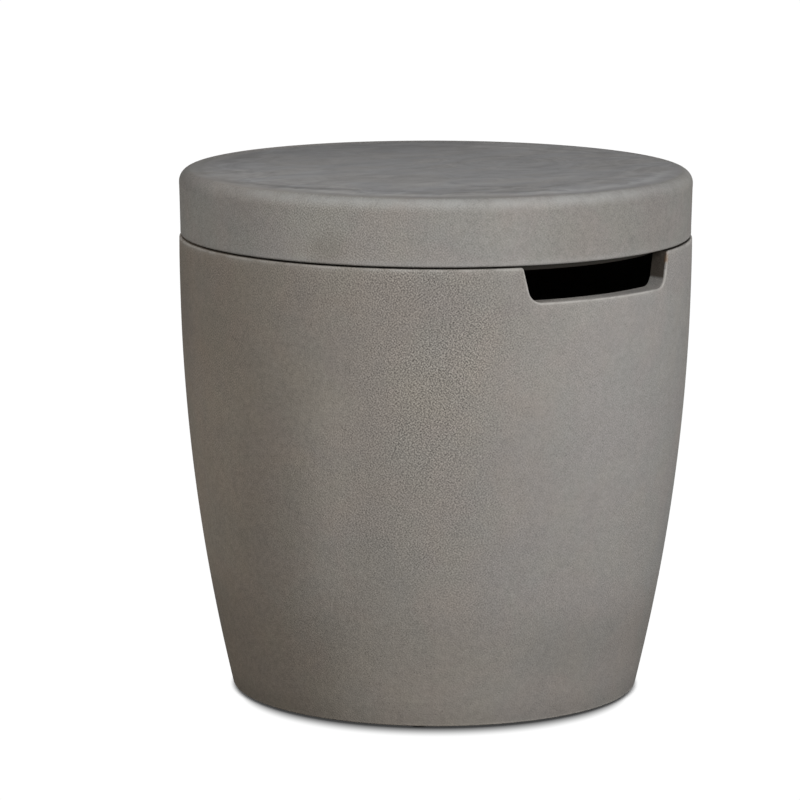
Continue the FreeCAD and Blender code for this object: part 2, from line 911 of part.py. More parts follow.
screw_set = doc.addObject("Part::Compound", "glide_screws")
screw_set.Label = "glide_screws"
screw_set.Links = screws
insert_set = doc.addObject("Part::Compound", "glide_inserts")
insert_set.Label = "glide_inserts"
insert_set.Links = inserts
doc.recompute()

# ------------------------------------------------------------ check and write
KEPT = [shell, lid] + bumpers + glides + [screw_set, insert_set]
for obj in doc.Objects:
    state = [s for s in obj.State if s in ("Invalid", "Error")]
    if state:
        raise RuntimeError("%s is %s" % (obj.Label, state))
for obj in doc.Objects:
    if obj.TypeId == "Sketcher::SketchObject":
        if obj.solve() != 0:
            raise RuntimeError("%s does not solve" % obj.Label)
        if obj.Name in ("shell_profile", "cutout_outline", "lid_profile"):
            print(obj.Label, "fully constrained:", bool(obj.FullyConstrained))
for obj in KEPT:
    shape = obj.Shape
    if shape.isNull() or not shape.isValid():
        raise RuntimeError("%s has no valid shape" % obj.Label)

os.makedirs("parts", exist_ok=True)
for obj in KEPT:
    obj.Shape.exportStep("parts/%s.step" % obj.Label)
    box = obj.Shape.BoundBox
    print(
        "%-24s solids %d  volume %11.1f mm3  x %.2f..%.2f y %.2f..%.2f z %.2f..%.2f"
        % (
            obj.Label,
            len(obj.Shape.Solids),
            obj.Shape.Volume,
            box.XMin,
            box.XMax,
            box.YMin,
            box.YMax,
            box.ZMin,
            box.ZMax,
        )
    )
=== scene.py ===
import math

import bmesh
import bpy
import numpy as np
from mathutils import Matrix, Vector, noise


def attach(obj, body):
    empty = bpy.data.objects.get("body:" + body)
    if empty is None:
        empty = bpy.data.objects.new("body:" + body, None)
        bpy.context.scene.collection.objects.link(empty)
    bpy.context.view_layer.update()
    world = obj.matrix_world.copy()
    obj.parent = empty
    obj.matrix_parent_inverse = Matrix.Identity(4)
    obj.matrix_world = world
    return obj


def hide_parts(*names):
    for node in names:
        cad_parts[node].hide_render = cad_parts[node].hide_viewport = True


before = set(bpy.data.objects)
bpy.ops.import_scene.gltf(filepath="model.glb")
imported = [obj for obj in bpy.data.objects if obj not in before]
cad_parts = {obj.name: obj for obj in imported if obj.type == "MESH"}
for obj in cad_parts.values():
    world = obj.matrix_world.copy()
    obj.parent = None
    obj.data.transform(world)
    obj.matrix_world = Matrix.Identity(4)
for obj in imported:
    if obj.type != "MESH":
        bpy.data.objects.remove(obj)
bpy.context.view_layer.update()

# Round cast concrete cover table for a standing gas cylinder.
# All sizes below are in millimetres in the object's own frame and turn into
# metres when a mesh is written. Angles run from the front (-Y) towards +X.
MM = 0.001


# --------------------------------------------------------------- small helpers
def smooth(x, a, b):
    """0 below a, 1 above b, easing between."""
    t = np.clip((np.asarray(x, float) - a) / (b - a), 0.0, 1.0)
    return t * t * (3.0 - 2.0 * t)


def unit(v):
    return v / np.linalg.norm(v, axis=-1, keepdims=True)


def dot(a, b):
    return (a * b).sum(-1, keepdims=True)


def slerp(a, b, t):
    d = np.clip(dot(a, b), -1.0, 1.0)
    w = np.arccos(d)
    s = np.sin(w)
    return (np.sin((1 - t) * w) * a + np.sin(t * w) * b) / s


def around(r, phi, z):
    """A point at radius r, angle phi from the front, height z."""
    r, phi, z = np.broadcast_arrays(
        np.asarray(r, float), np.asarray(phi, float), np.asarray(z, float)
    )
    return np.stack([r * np.sin(phi), -r * np.cos(phi), z], -1)


def cloud(points, wave, seed, octaves=2):
    """Smooth noise, about -1..1, with features about `wave` millimetres wide."""
    out = np.zeros(len(points))
    off = Vector((seed * 17.31, seed * -9.7, seed * 5.13))
    for k in range(octaves):
        s, gain = (2.0**k) / wave, 0.5**k
        out += gain * np.array([noise.noise(Vector(p) * s + off) for p in points])
    return out


def make_mesh(name, points, faces, layers=None):
    """points in mm, faces as lists of vertex numbers, layers = {name: values}."""
    me = bpy.data.meshes.new(name)
    me.from_pydata((np.asarray(points) * MM).tolist(), [], faces)
    me.validate()
    me.update()
    for key, values in (layers or {}).items():
        layer = me.attributes.new(key, "FLOAT", "POINT")
        layer.data.foreach_set("value", np.asarray(values, np.float32))
    me.polygons.foreach_set("use_smooth", [True] * len(me.polygons))
    ob = bpy.data.objects.new(name, me)
    bpy.context.scene.collection.objects.link(ob)
    return ob


def rounded_path(corners, step=2.0):
    """A line through (r, z, rounding) corners, with each rounding as an arc.

    Gives (points, tags): tag k + 0.5 on the arc at corner k, else k for the
    run that leaves corner k.
    """
    pts, tags = [], []
    n = len(corners)
    ends = []
    for k, (r, z, f) in enumerate(corners):
        p = np.array([r, z], float)
        if k in (0, n - 1) or not f:
            ends.append((p, p, None, f))
            continue
        a = unit(np.array(corners[k - 1][:2], float) - p)
        b = unit(np.array(corners[k + 1][:2], float) - p)
        half = math.acos(np.clip(a @ b, -1, 1)) / 2
        back = f / math.tan(half)
        c = p + unit(a + b) * f / math.sin(half)
        ends.append((p + a * back, p + b * back, c, f))
    for k in range(n):
        first, last, c, f = ends[k]
        if c is None:
            pts.append(first)
            tags.append(float(k))
        else:
            u, v = (first - c) / f, (last - c) / f
            w = math.acos(np.clip(u @ v, -1, 1))
            m = max(4, int(round(w * f / 0.6)), int(round(w / math.radians(15))))
            m = min(m, 10)
            for j in range(m + 1):
                t = j / m
                q = (math.sin((1 - t) * w) * u + math.sin(t * w) * v) / math.sin(w)
                pts.append(c + f * q)
                tags.append(k + 0.5)
        if k < n - 1:
            a, b = last, ends[k + 1][0]
            length = np.linalg.norm(b - a)
            m = max(1, int(round(length / step)))
            for j in range(1, m):
                pts.append(a + (b - a) * j / m)
                tags.append(float(k))
    return np.array(pts), np.array(tags)


# ------------------------------------------------------------------ shell side
SIDE_BACK, SIDE_R, SIDE_Z, WALL = -1592.4, 1840.0, 431.6, 14.0
RIM_Z, SILL_Z, FOOT_Z, RIM_IN = 443.0, 409.7, 2.0, 228.0
ROUND = 1.6


def side_radius(z, wall=0.0):
    return SIDE_BACK + np.sqrt((SIDE_R - wall) ** 2 - (np.asarray(z) - SIDE_Z) ** 2)


def side_normal(p):
    """Outward normal of the barrel side at points p."""
    z = p[..., 2]
    s = -(z - SIDE_Z) / np.sqrt(SIDE_R**2 - (z - SIDE_Z) ** 2)
    r = np.hypot(p[..., 0], p[..., 1])
    return unit(np.stack([p[..., 0] / r, p[..., 1] / r, -s], -1))


# rim cut-out outline, one half, by length s from its middle
SLANT = math.radians(13.0)
CS, SN = math.cos(SLANT), math.sin(SLANT)
ARC_R, TOP_R = 13.0, 3.0
ARC_X, ARC_Z = 72.3710, SILL_Z + ARC_R
TOP_Z = RIM_Z - TOP_R
TOP_X = 90.4 + (TOP_R + (TOP_Z - RIM_Z) * SN) / CS
LINE_A = (ARC_X + ARC_R * CS, ARC_Z - ARC_R * SN)
LINE_B = (TOP_X - TOP_R * CS, TOP_Z + TOP_R * SN)
L1 = ARC_X
L2 = L1 + ARC_R * (math.pi / 2 - SLANT)
L3 = L2 + math.dist(LINE_A, LINE_B)
L4 = L3 + TOP_R * (math.pi / 2 - SLANT)


def outline(s):
    """(x, z, nx, nz) of the half outline; the normal points into the opening."""
    s = np.asarray(s, float)
    a = -math.pi / 2 + (s - L1) / ARC_R
    b = math.pi - SLANT - (s - L3) / TOP_R
    u = (s - L2) / (L3 - L2)
    zone = [s <= L1, s <= L2, s <= L3, s <= L4]
    x = np.select(
        zone,
        [
            s,
            ARC_X + ARC_R * np.cos(a),
            LINE_A[0] + u * (LINE_B[0] - LINE_A[0]),
            TOP_X + TOP_R * np.cos(b),
        ],
        TOP_X + (s - L4),
    )
    z = np.select(
        zone,
        [
            s * 0 + SILL_Z,
            ARC_Z + ARC_R * np.sin(a),
            LINE_A[1] + u * (LINE_B[1] - LINE_A[1]),
            TOP_Z + TOP_R * np.sin(b),
        ],
        s * 0 + RIM_Z,
    )
    nx = np.select(zone, [s * 0, -np.cos(a), s * 0 - CS, np.cos(b)], s * 0)
    nz = np.select(zone, [s * 0 + 1, -np.sin(a), s * 0 + SN, np.sin(b)], s * 0 + 1)
    return x, z, nx, nz


TABLE_S = np.arange(0.0, L4 + 160.0, 0.02)
TABLE_X, TABLE_Z = outline(TABLE_S)[:2]


def nearest_s(x, z):
    """Length along the half outline nearest to (|x|, z)."""
    out = []
    for px, pz in zip(np.abs(x), z):
        out.append(TABLE_S[np.argmin((TABLE_X - px) ** 2 + (TABLE_Z - pz) ** 2)])
    return np.array(out)


def shell_columns():
    """The rim edge, a quarter at a time: outer edge, inner edge, face normal."""
    s = np.concatenate(
        [
            np.linspace(0, L1, 20, endpoint=False),
            np.linspace(L1, L2, 9, endpoint=False),
            np.linspace(L2, L3, 9, endpoint=False),
            np.linspace(L3, L4, 7),
        ]
    )
    x, z, nx, nz = outline(s)
    r1 = side_radius(z)
    p1 = np.stack([x, -np.sqrt(r1**2 - x**2), z], -1)
    p2 = np.stack([x, -np.sqrt(RIM_IN**2 - x**2), z], -1)
    nn = np.stack([nx, 0 * nx, nz], -1)
    rr = float(side_radius(RIM_Z))
    f0, g0 = math.asin(TOP_X / rr), math.asin(TOP_X / RIM_IN)
    count = 120 - len(s) + 1
    t = np.linspace(0, 1, count + 1)[1:]
    # spacing grows gently from the cut-out's edge to the regular pitch
    f = f0 + (math.pi / 2 - f0) * (t + 0.35 * (t**2 - t))
    g = f + (g0 - f0) * (1 - smooth(f - f0, 0, math.radians(30)))
    q1 = around(rr, f, RIM_Z)
    q2 = around(RIM_IN, g, RIM_Z)
    up = np.tile([0.0, 0.0, 1.0], (len(f), 1))
    p1, p2, nn = (
        np.vstack([p1, q1]),
        np.vstack([p2, q2]),
        np.vstack([nn, up]),
    )

    def ring(a):
        n = len(a) - 1
        fx, fy = np.array([-1, 1, 1]), np.array([1, -1, 1])
        return np.vstack([a[:n], a[n:0:-1] * fy, a[:n] * fx * fy, a[n:0:-1] * fx])

    return ring(p1), ring(p2), ring(nn)


def build_shell():
    p1, p2, n2 = shell_columns()
    n = len(p1)
    even = np.arange(n) * 2 * math.pi / n
    n1 = side_normal(p1)
    n3 = -unit(p2 * np.array([1, 1, 0]))
    c1 = p1 - ROUND * (n1 + n2) / (1 + dot(n1, n2))
    c2 = p2 - ROUND * (n2 + n3) / (1 + dot(n2, n3))
    rows, arris, zone = [], [], []  # zone: 0 side, 1 cut face, 2 inside, 3 foot

    def add(points, a, k):
        rows.append(points)
        arris.append(np.full(n, float(a)))
        zone.append(np.full(n, float(k)))

    def turns(p):
        f = np.unwrap(np.arctan2(p[:, 0], -p[:, 1]))
        return f - (f[0] - 0.0 if abs(f[0]) > 3 else 0.0)

    # outer side, from the foot rounding to the rim rounding
    q1 = c1 + ROUND * n1
    fq, zq = turns(q1), q1[:, 2]
    foot_r = float(side_radius(FOOT_Z))
    nf = side_normal(np.array([[foot_r, 0.0, FOOT_Z]]))[0]
    nf = np.array([nf[0], nf[2]])
    nd = np.array([0.0, -1.0])
    cf = np.array([foot_r, FOOT_Z]) - 3.5 * (nf + nd) / (1 + nf @ nd)
    low = (cf + 3.5 * nf)[1]
    top = RIM_Z - ROUND
    nominal = np.concatenate(
        [
            [low, low + 0.8, low + 2.2, low + 4.5],
            np.arange(low + 9.0, 330.0, 7.5),
            np.linspace(332.0, top - 9.0, 22),
            [top - 6.0, top - 3.6, top - 1.8, top - 0.7, top],
        ]
    )
    for h in nominal:
        t = float(smooth(h, 230, 405))
        f = even + (fq - even) * t
        z = np.where(h > 330, 330 + (h - 330) * (zq - 330) / (top - 330), h)
        near = top - h
        add(around(side_radius(z), f, z), math.exp(-near / 2.2), 0)
        if h < low + 5:
            arris[-1][:] = 0.15 * math.exp(-(h - low) / 2.0)
    # outer arris rounding, face of the cut, inner arris rounding
    for t in (0.2, 0.4, 0.6, 0.8, 1.0):
        add(c1 + ROUND * slerp(n1, n2, t), 1.0, 0.0 if t < 0.7 else 0.5)
    a, b = c1 + ROUND * n2, c2 + ROUND * n2
    sa, sb = nearest_s(a[:, 0], a[:, 2]), nearest_s(b[:, 0], b[:, 2])
    on_cut = np.abs(p1[:, 0]) < TOP_X + 30
    on_cut &= np.abs(p1[:, 1]) > 200
    for t in (0.04, 0.12, 0.26, 0.42, 0.58, 0.74, 0.88, 0.96):
        m = a + (b - a) * t
        x, z = outline(sa + (sb - sa) * t)[:2]
        m[on_cut, 0] = (np.sign(m[:, 0]) * x)[on_cut]
        m[on_cut, 2] = z[on_cut]
        edge = min(t, 1 - t) * 16
        add(m, math.exp(-edge / 1.8), 1)
    for t in (0.0, 0.2, 0.4, 0.6, 0.8, 1.0):
        add(c2 + ROUND * slerp(n2, n3, t), 0.9, 1.0 if t < 0.5 else 2.0)
    # inside, down to the flange
    q3 = c2 + ROUND * n3
    f3, z3 = turns(q3), q3[:, 2]
    meet = SIDE_Z - math.sqrt((SIDE_R - WALL) ** 2 - (RIM_IN - SIDE_BACK) ** 2)
    down = [0.7, 1.8, 3.6, 6.5] + list(np.linspace(11, top - meet, 16))
    for d in down:
        t = 1 - float(smooth(top - d, 310, 400))
        f = f3 + (even - f3) * t
        z = z3 - d * (z3 - meet) / (top - meet)
        add(around(RIM_IN, f, z), 0.8 * math.exp(-d / 2.2), 2)
    for z in np.arange(meet - 9.0, 62.0, -9.5):
        add(around(side_radius(z, WALL), even, z), 0.0, 2)
    knee_r = float(side_radius(44.0, WALL))
    start_r = float(side_radius(58.0, WALL))
    path, tags = rounded_path(
        [
            (start_r, 58.0, 0),
            (knee_r, 44.0, 5.0),
            (166.0, 26.0, 1.4),
            (166.0, FOOT_Z, 2.0),
            (171.2, FOOT_Z, 0),
        ],
        4.0,
    )
    for (r, z), k in zip(path, tags):
        add(around(r, even, z), 0.8 if k in (2.5, 3.5) else 0.0, 2.0 if k < 3 else 3.0)
    first_flat = len(rows) - 1
    for r in (173.6, 176.4, 179.0, 181.5, 184.0, 186.6, 189.4, 191.8):
        add(around(r, even, FOOT_Z), 0.0, 3)
    last_flat = len(rows) - 1
    for t in (1.0, 0.8, 0.6, 0.4, 0.2):
        q = cf + 3.5 * slerp(nf[None], nd[None], t)[0]
        add(around(q[0], even, q[1]), 0.15, 3.0 if t > 0.5 else 0.0)

    m = len(rows)
    pts = np.vstack(rows)
    arris, zone = np.concatenate(arris), np.concatenate(zone)
    # the faint unevenness of a hand-filled mould, always into the wall
    outer = np.concatenate([np.full(n, float(k < len(nominal))) for k in range(m)])
    ease = outer * smooth(pts[:, 2], low, low + 30) * (1 - smooth(pts[:, 2], 395, 437))
    keep = ease > 0.001
    wave = np.zeros(len(pts))
    wave[keep] = (
        -0.16
        + 0.13 * cloud(pts[keep], 120.0, 3, 1)
        + 0.07 * cloud(pts[keep], 48.0, 5, 1)
    )
    wave = np.minimum(wave, 0.0) * ease
    radial = unit(pts * np.array([1, 1, 0]))
    pts = pts + radial * wave[:, None]

    # faces, leaving a window in the foot for each glide seat
    seats = [math.radians(a) for a in (45, 135, 225, 315)]
    pitch = 2 * math.pi / n
    half = int(round(math.asin(12.6 / 181.5) / pitch))
    windows = [(int(round(a / pitch)) - half, int(round(a / pitch)) + half) for a in seats]

    def in_window(k, i):
        return first_flat <= k < last_flat and any(w0 <= i < w1 for w0, w1 in windows)

    faces = []
    for k in range(m):
        k2 = (k + 1) % m
        for i in range(n):
            if in_window(k, i):
                continue
            j = (i + 1) % n
            faces.append((k * n + i, k2 * n + i, k2 * n + j, k * n + j))
    more, extra_a, extra_z = [], [], []
    base = len(pts)
    for (w0, w1), a in zip(windows, seats):
        centre = around(181.5, a, FOOT_Z)
        loop = (
            [first_flat * n + i for i in range(w0, w1)]
            + [k * n + w1 for k in range(first_flat, last_flat)]
            + [last_flat * n + i for i in range(w1, w0, -1)]
            + [k * n + w0 for k in range(last_flat, first_flat, -1)]
        )
        rel = pts[loop] - centre
        turn = np.arctan2(rel[:, 1], rel[:, 0])
        rings = [(0.45, None, 0.0, 0.0)]  # (share to the circle, radius, z, arris)
        rings += [(1, 10.6, 0.0, 0.3), (1, 10.15, 0.06, 0.8), (1, 9.88, 0.3, 0.9)]
        rings += [(1, 9.8, 0.7, 0.4), (1, 9.8, 2.2, 0), (1, 9.8, 3.7, 0)]
        rings += [(1, 9.68, 3.92, 0), (1, 9.4, 4.0, 0), (1, 7.6, 4.0, 0)]
        rings += [(1, 5.6, 4.0, 0), (1, 4.7, 4.0, 0.2), (1, 4.5, 4.15, 0.2)]
        rings += [(1, 4.45, 4.5, 0), (1, 4.45, 9.0, 0), (1, 4.45, 14.9, 0)]
        rings += [(1, 4.9, 14.9, 0), (1, 5.95, 14.9, 0), (1, 5.95, 17.0, 0)]
        rings += [(1, 3.0, 17.0, 0), (1, 0.0, 17.0, 0)]
        prev = loop
        for share, radius, dz, edge in rings:
            if radius == 0.0:
                more.append(centre + np.array([0, 0, dz]))
                extra_a.append(0.0)
                extra_z.append(3.0)
                tip = base + len(more) - 1
                for i in range(len(prev)):
                    faces.append((prev[i], prev[(i + 1) % len(prev)], tip))
                break
            r = 10.6 if radius is None else radius
            circle = np.stack(
                [centre[0] + r * np.cos(turn), centre[1] + r * np.sin(turn)], -1
            )
            now = []
            for i, v in enumerate(loop):
                xy = pts[v][:2] + (circle[i] - pts[v][:2]) * share
                more.append(np.array([xy[0], xy[1], FOOT_Z + dz]))
                extra_a.append(edge)
                extra_z.append(3.0)
                now.append(base + len(more) - 1)
            for i in range(len(prev)):
                j = (i + 1) % len(prev)
                faces.append((prev[i], prev[j], now[j], now[i]))
            prev = now
    pts = np.vstack([pts, np.array(more)])
    arris = np.concatenate([arris, extra_a])
    zone = np.concatenate([zone, extra_z])
    # drop the grid points inside the windows
    used = np.zeros(len(pts), bool)
    for f in faces:
        used[list(f)] = True
    index = np.cumsum(used) - 1
    faces = [tuple(int(index[v]) for v in f) for f in faces]
    ob = make_mesh(
        "shell_casting",
        pts[used],
        faces,
        {"arris": arris[used], "zone": zone[used]},
    )
    face_out(ob)
    return ob


def face_out(ob):
    """Turn every face outwards."""
    bm = bmesh.new()
    bm.from_mesh(ob.data)
    bmesh.ops.recalc_face_normals(bm, faces=bm.faces)
    bm.to_mesh(ob.data)
    bm.free()


# ------------------------------------------------------------------------- lid
TOP, LID_R, LID_ROUND, LID_FOOT_R, LID_FOOT = 508.0, 247.65, 13.0, 246.4, 444.5


def build_lid():
    n = 360
    even = np.arange(n) * 2 * math.pi / n
    ax, az = LID_R - LID_ROUND, TOP - LID_ROUND
    dx, dz = ax - LID_FOOT_R, az - LID_FOOT
    dist = math.hypot(dx, dz)
    turn = math.atan2(dz, dx) - math.asin(LID_ROUND / dist)
    reach = math.sqrt(dist**2 - LID_ROUND**2)
    tx, tz = LID_FOOT_R + reach * math.cos(turn), LID_FOOT + reach * math.sin(turn)
    rows, arris, zone = [], [], []  # zone: 0 side, 1 underside and hollow, 2 top
    disc = 110.0

    def add(r, z, a, k):
        rows.append(around(r, even, z))
        arris.append(np.full(n, float(a)))
        zone.append(np.full(n, float(k)))

    # flat top; the flat ends in a faint trowelled valley inside the rounding
    for r in list(np.arange(disc, 214.0, 5.0)) + list(np.arange(215.0, ax - 0.5, 1.5)):
        add(r, TOP, 0.0, 2)
    top_rows = len(rows)
    a0 = math.atan2(tz - az, tx - ax)
    # the rounding; its arris value places the painted highlight on the rim
    for t in np.linspace(0, 1, 15):
        a = math.pi / 2 + (a0 - math.pi / 2) * t
        add(
            ax + LID_ROUND * math.cos(a),
            az + LID_ROUND * math.sin(a),
            0.95 * float(smooth(t, 0.04, 0.34) * (1.0 - smooth(t, 0.45, 1.0))),
            2.0 - 2.0 * float(smooth(t, 0.02, 0.45)),
        )
    rounding_rows = len(rows)
    side, tags = rounded_path(
        [
            (tx, tz, 0),
            (LID_FOOT_R, LID_FOOT, 2.5),
            (224.0, LID_FOOT, 1.2),
            (223.2, 437.0, 1.5),
            (208.0, 437.0, 1.5),
            (204.0, 490.0, 10.0),
            (disc + 10.0, 490.0, 0),
            (disc, 490.0, 0),
        ],
        3.6,
    )
    for (r, z), k in list(zip(side, tags))[1:]:
        edge = 1.0 if k in (1.5, 3.5, 4.5) else 0.0
        if k == 0.0:
            edge = math.exp(-(z - 447.0) / 2.5) if z > 447 else 1.0
        add(r, z, edge, 0.0 if k < 1 else (0.5 if k == 1.5 else 1.0))
    m = len(rows)
    pts = np.vstack(rows)
    arris, zone = np.concatenate(arris), np.concatenate(zone)
    faces = []
    for k in range(m - 1):
        for i in range(n):
            j = (i + 1) % n
            faces.append((k * n + i, (k + 1) * n + i, (k + 1) * n + j, k * n + j))

    # round middle of the top and of the hollow's roof: a square grid eased
    # into the circle, so no faces bunch up at the centre
    side_n = n // 4
    v = math.sqrt(2) * np.sin(np.linspace(-math.pi / 4, math.pi / 4, side_n + 1))
    gu, gv = np.meshgrid(v, v, indexing="ij")
    gx, gy = gu * np.sqrt(1 - gv**2 / 2), gv * np.sqrt(1 - gu**2 / 2)
    for z, ring, k, flip in ((TOP, 0, 2.0, False), (490.0, (m - 1) * n, 1.0, True)):
        base = len(pts)
        number = -np.ones((side_n + 1, side_n + 1), int)
        fresh = []
        for i in range(side_n + 1):
            for j in range(side_n + 1):
                if i in (0, side_n) or j in (0, side_n):
                    a = math.atan2(gx[i, j], -gy[i, j]) % (2 * math.pi)
                    number[i, j] = ring + int(round(a / (2 * math.pi / n))) % n
                else:
                    number[i, j] = base + len(fresh)
                    fresh.append((gx[i, j] * disc, gy[i, j] * disc, z))
        pts = np.vstack([pts, fresh])
        arris = np.concatenate([arris, np.zeros(len(fresh))])
        zone = np.concatenate([zone, np.full(len(fresh), k)])
        for i in range(side_n):
            for j in range(side_n):
                q = (
                    number[i, j],
                    number[i + 1, j],
                    number[i + 1, j + 1],
                    number[i, j + 1],
                )
                faces.append(tuple(int(x) for x in (q[::-1] if flip else q)))

    # cast unevenness, always into the material: soft dips of the floated top,
    # a broken valley where the flat meets the rounding, a slightly wavy side
    r = np.hypot(pts[:, 0], pts[:, 1])
    on_top = (pts[:, 2] > TOP - 0.001) | ((pts[:, 2] > 500) & (r > ax - 1))
    dip = np.zeros(len(pts))
    tp = pts[on_top]
    rr = r[on_top]
    broken = cloud(tp * np.array([1, 1, 0]), 70.0, 11, 2)
    valley = np.exp(-(((rr - 228.0 - 3.0 * broken) / 3.4) ** 2))
    valley = valley * np.clip(0.80 + 0.70 * broken, 0.15, 1.0)
    # it was floated out on one side
    one_side = tp[:, 0] * 0.7593 - tp[:, 1] * 0.6508
    valley = valley * (1 - 0.85 * smooth(one_side, 20, 95))
    dip[on_top] = (
        0.12
        - 0.09 * cloud(tp, 140.0, 7, 1)
        - 0.060 * cloud(tp, 52.0, 8, 1)
        + 0.24 * valley
    ) * (1 - smooth(rr, ax, ax + 6))
    dip[on_top] += 0.45 * smooth(rr, 208, 239) * (1 - smooth(rr, 239, 247))
    pts[:, 2] -= np.maximum(dip, 0.0)
    groove = np.zeros(len(pts))
    groove[on_top] = valley
    edge_of_top = (pts[:, 2] > 500) & (r > 222) & (zone > 1.0)
    zone[edge_of_top] -= 0.35 * smooth(r[edge_of_top], 223, ax)
    on_side = (pts[:, 2] < 500) & (pts[:, 2] > 446.5) & (r > 240)
    sp = pts[on_side]
    wave = np.minimum(
        -0.12 + 0.10 * cloud(sp, 110.0, 13, 1) + 0.06 * cloud(sp, 40.0, 14, 1), 0.0
    )
    wave *= smooth(sp[:, 2], 446.5, 456) * (1 - smooth(sp[:, 2], 488, 499))
    pts[on_side] += unit(sp * np.array([1, 1, 0])) * wave[:, None]
    ob = make_mesh("lid_casting", pts, faces, {"arris": arris, "zone": zone, "groove": groove})
    face_out(ob)
    return ob


# --------------------------------------------------- small turned rubber pieces
def lathe(name, path, centre, n=48, layers=None):
    """A piece turned about a vertical axis; path runs from axis to axis or
    closes on itself, in (radius, height)."""
    even = np.arange(n) * 2 * math.pi / n
    pts, rings = [], []
    for r, z in path:
        if r < 1e-6:
            rings.append([len(pts)])
            pts.append((centre[0], centre[1], centre[2] + z))
        else:
            rings.append(list(range(len(pts), len(pts) + n)))
            for a in even:
                pts.append(
                    (
                        centre[0] + r * math.cos(a),
                        centre[1] + r * math.sin(a),
                        centre[2] + z,
                    )
                )
    faces = []
    closed = len(rings[0]) > 1
    pairs = list(zip(rings, rings[1:])) + ([(rings[-1], rings[0])] if closed else [])
    for a, b in pairs:
        for i in range(n):
            j = (i + 1) % n
            if len(a) == 1:
                faces.append((a[0], b[i], b[j]))
            elif len(b) == 1:
                faces.append((a[i], a[j], b[0]))
            else:
                faces.append((a[i], b[i], b[j], a[j]))
    ob = make_mesh(name, pts, faces)
    face_out(ob)
    return ob


def arc(cx, cz, r, a0, a1, n):
    return [
        (
            cx + r * math.cos(math.radians(a0 + (a1 - a0) * k / n)),
            cz + r * math.sin(math.radians(a0 + (a1 - a0) * k / n)),
        )
        for k in range(n + 1)
    ]


# pressed bumper: flat foot, a slightly bulged edge and a shallow crowned face
BUMPER = (
    [(0.0, 0.0), (2.0, 0.0), (3.6, 0.0), (4.55, 0.0)]
    + arc(4.62, 0.25, 0.25, -80, -20, 4)
    + [(4.93, 0.42), (4.98, 0.6), (4.98, 0.78)]
    + arc(4.5, 0.74, 0.47, 12, 84, 6)
    + [(4.1, 1.235), (3.4, 1.262), (2.4, 1.284), (1.2, 1.296), (0.0, 1.3)]
)

# moulded glide: bevelled tread with two shallow grooves, sunk cone for the screw
GLIDE = (
    [(2.75, 5.75), (2.75, 4.8), (2.75, 3.75), (2.79, 3.62), (2.9, 3.45)]
    + [(3.6, 2.75), (4.3, 2.05), (4.85, 1.5), (4.96, 1.3), (5.0, 1.1), (5.0, 0.3)]
    + arc(5.25, 0.25, 0.25, 180, 270, 4)
    + [(6.0, 0.0), (6.35, 0.0), (6.5, 0.1), (6.62, 0.28), (6.78, 0.28)]
    + [(6.9, 0.1), (7.05, 0.0), (7.6, 0.0), (7.75, 0.1), (7.87, 0.28)]
    + [(8.03, 0.28), (8.15, 0.1), (8.3, 0.0)]
    + arc(8.5, 1.0, 1.0, -88, 0, 7)
    + [(9.5, 2.2), (9.5, 3.8), (9.5, 5.3)]
    + arc(9.1, 5.5, 0.4, 0, 90, 4)
    + [(7.5, 5.9), (5.0, 5.9), (3.4, 5.9), (2.95, 5.87)]
)

# ---------------------------------------------------------------------- pieces
shell = build_shell()
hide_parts("body_shell")
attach(shell, "shell")

lid = build_lid()
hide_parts("lid")
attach(lid, "lid")

bumpers, glides = [], []
for where, deg in (
    ("right", 0),
    ("back_right", 50),
    ("back_left", 130),
    ("left", 180),
    ("front_left", 230),
    ("front_right", 310),
):
    a = math.radians(deg)
    c = (235.5 * math.cos(a), 235.5 * math.sin(a), RIM_Z)
    ob = lathe("bumper_pad_" + where, BUMPER, c)
    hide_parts("lid_bumper_" + where)
    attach(ob, "shell")
    bumpers.append(ob)
for where, deg in (
    ("front_right", 315),
    ("back_right", 45),
    ("back_left", 135),
    ("front_left", 225),
):
    a = math.radians(deg)
    c = (181.5 * math.cos(a), 181.5 * math.sin(a), 0.0)
    ob = lathe("glide_pad_" + where, GLIDE, c, 64)
    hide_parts("base_glide_" + where)
    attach(ob, "shell")
    glides.append(ob)


# ------------------------------------------------------------------- materials
def srgb(r, g, b):
    """A display colour, 0-255, as linear light."""

    def lin(c):
        c /= 255.0
        return c / 12.92 if c <= 0.04045 else ((c + 0.055) / 1.055) ** 2.4

    return (lin(r), lin(g), lin(b), 1.0)


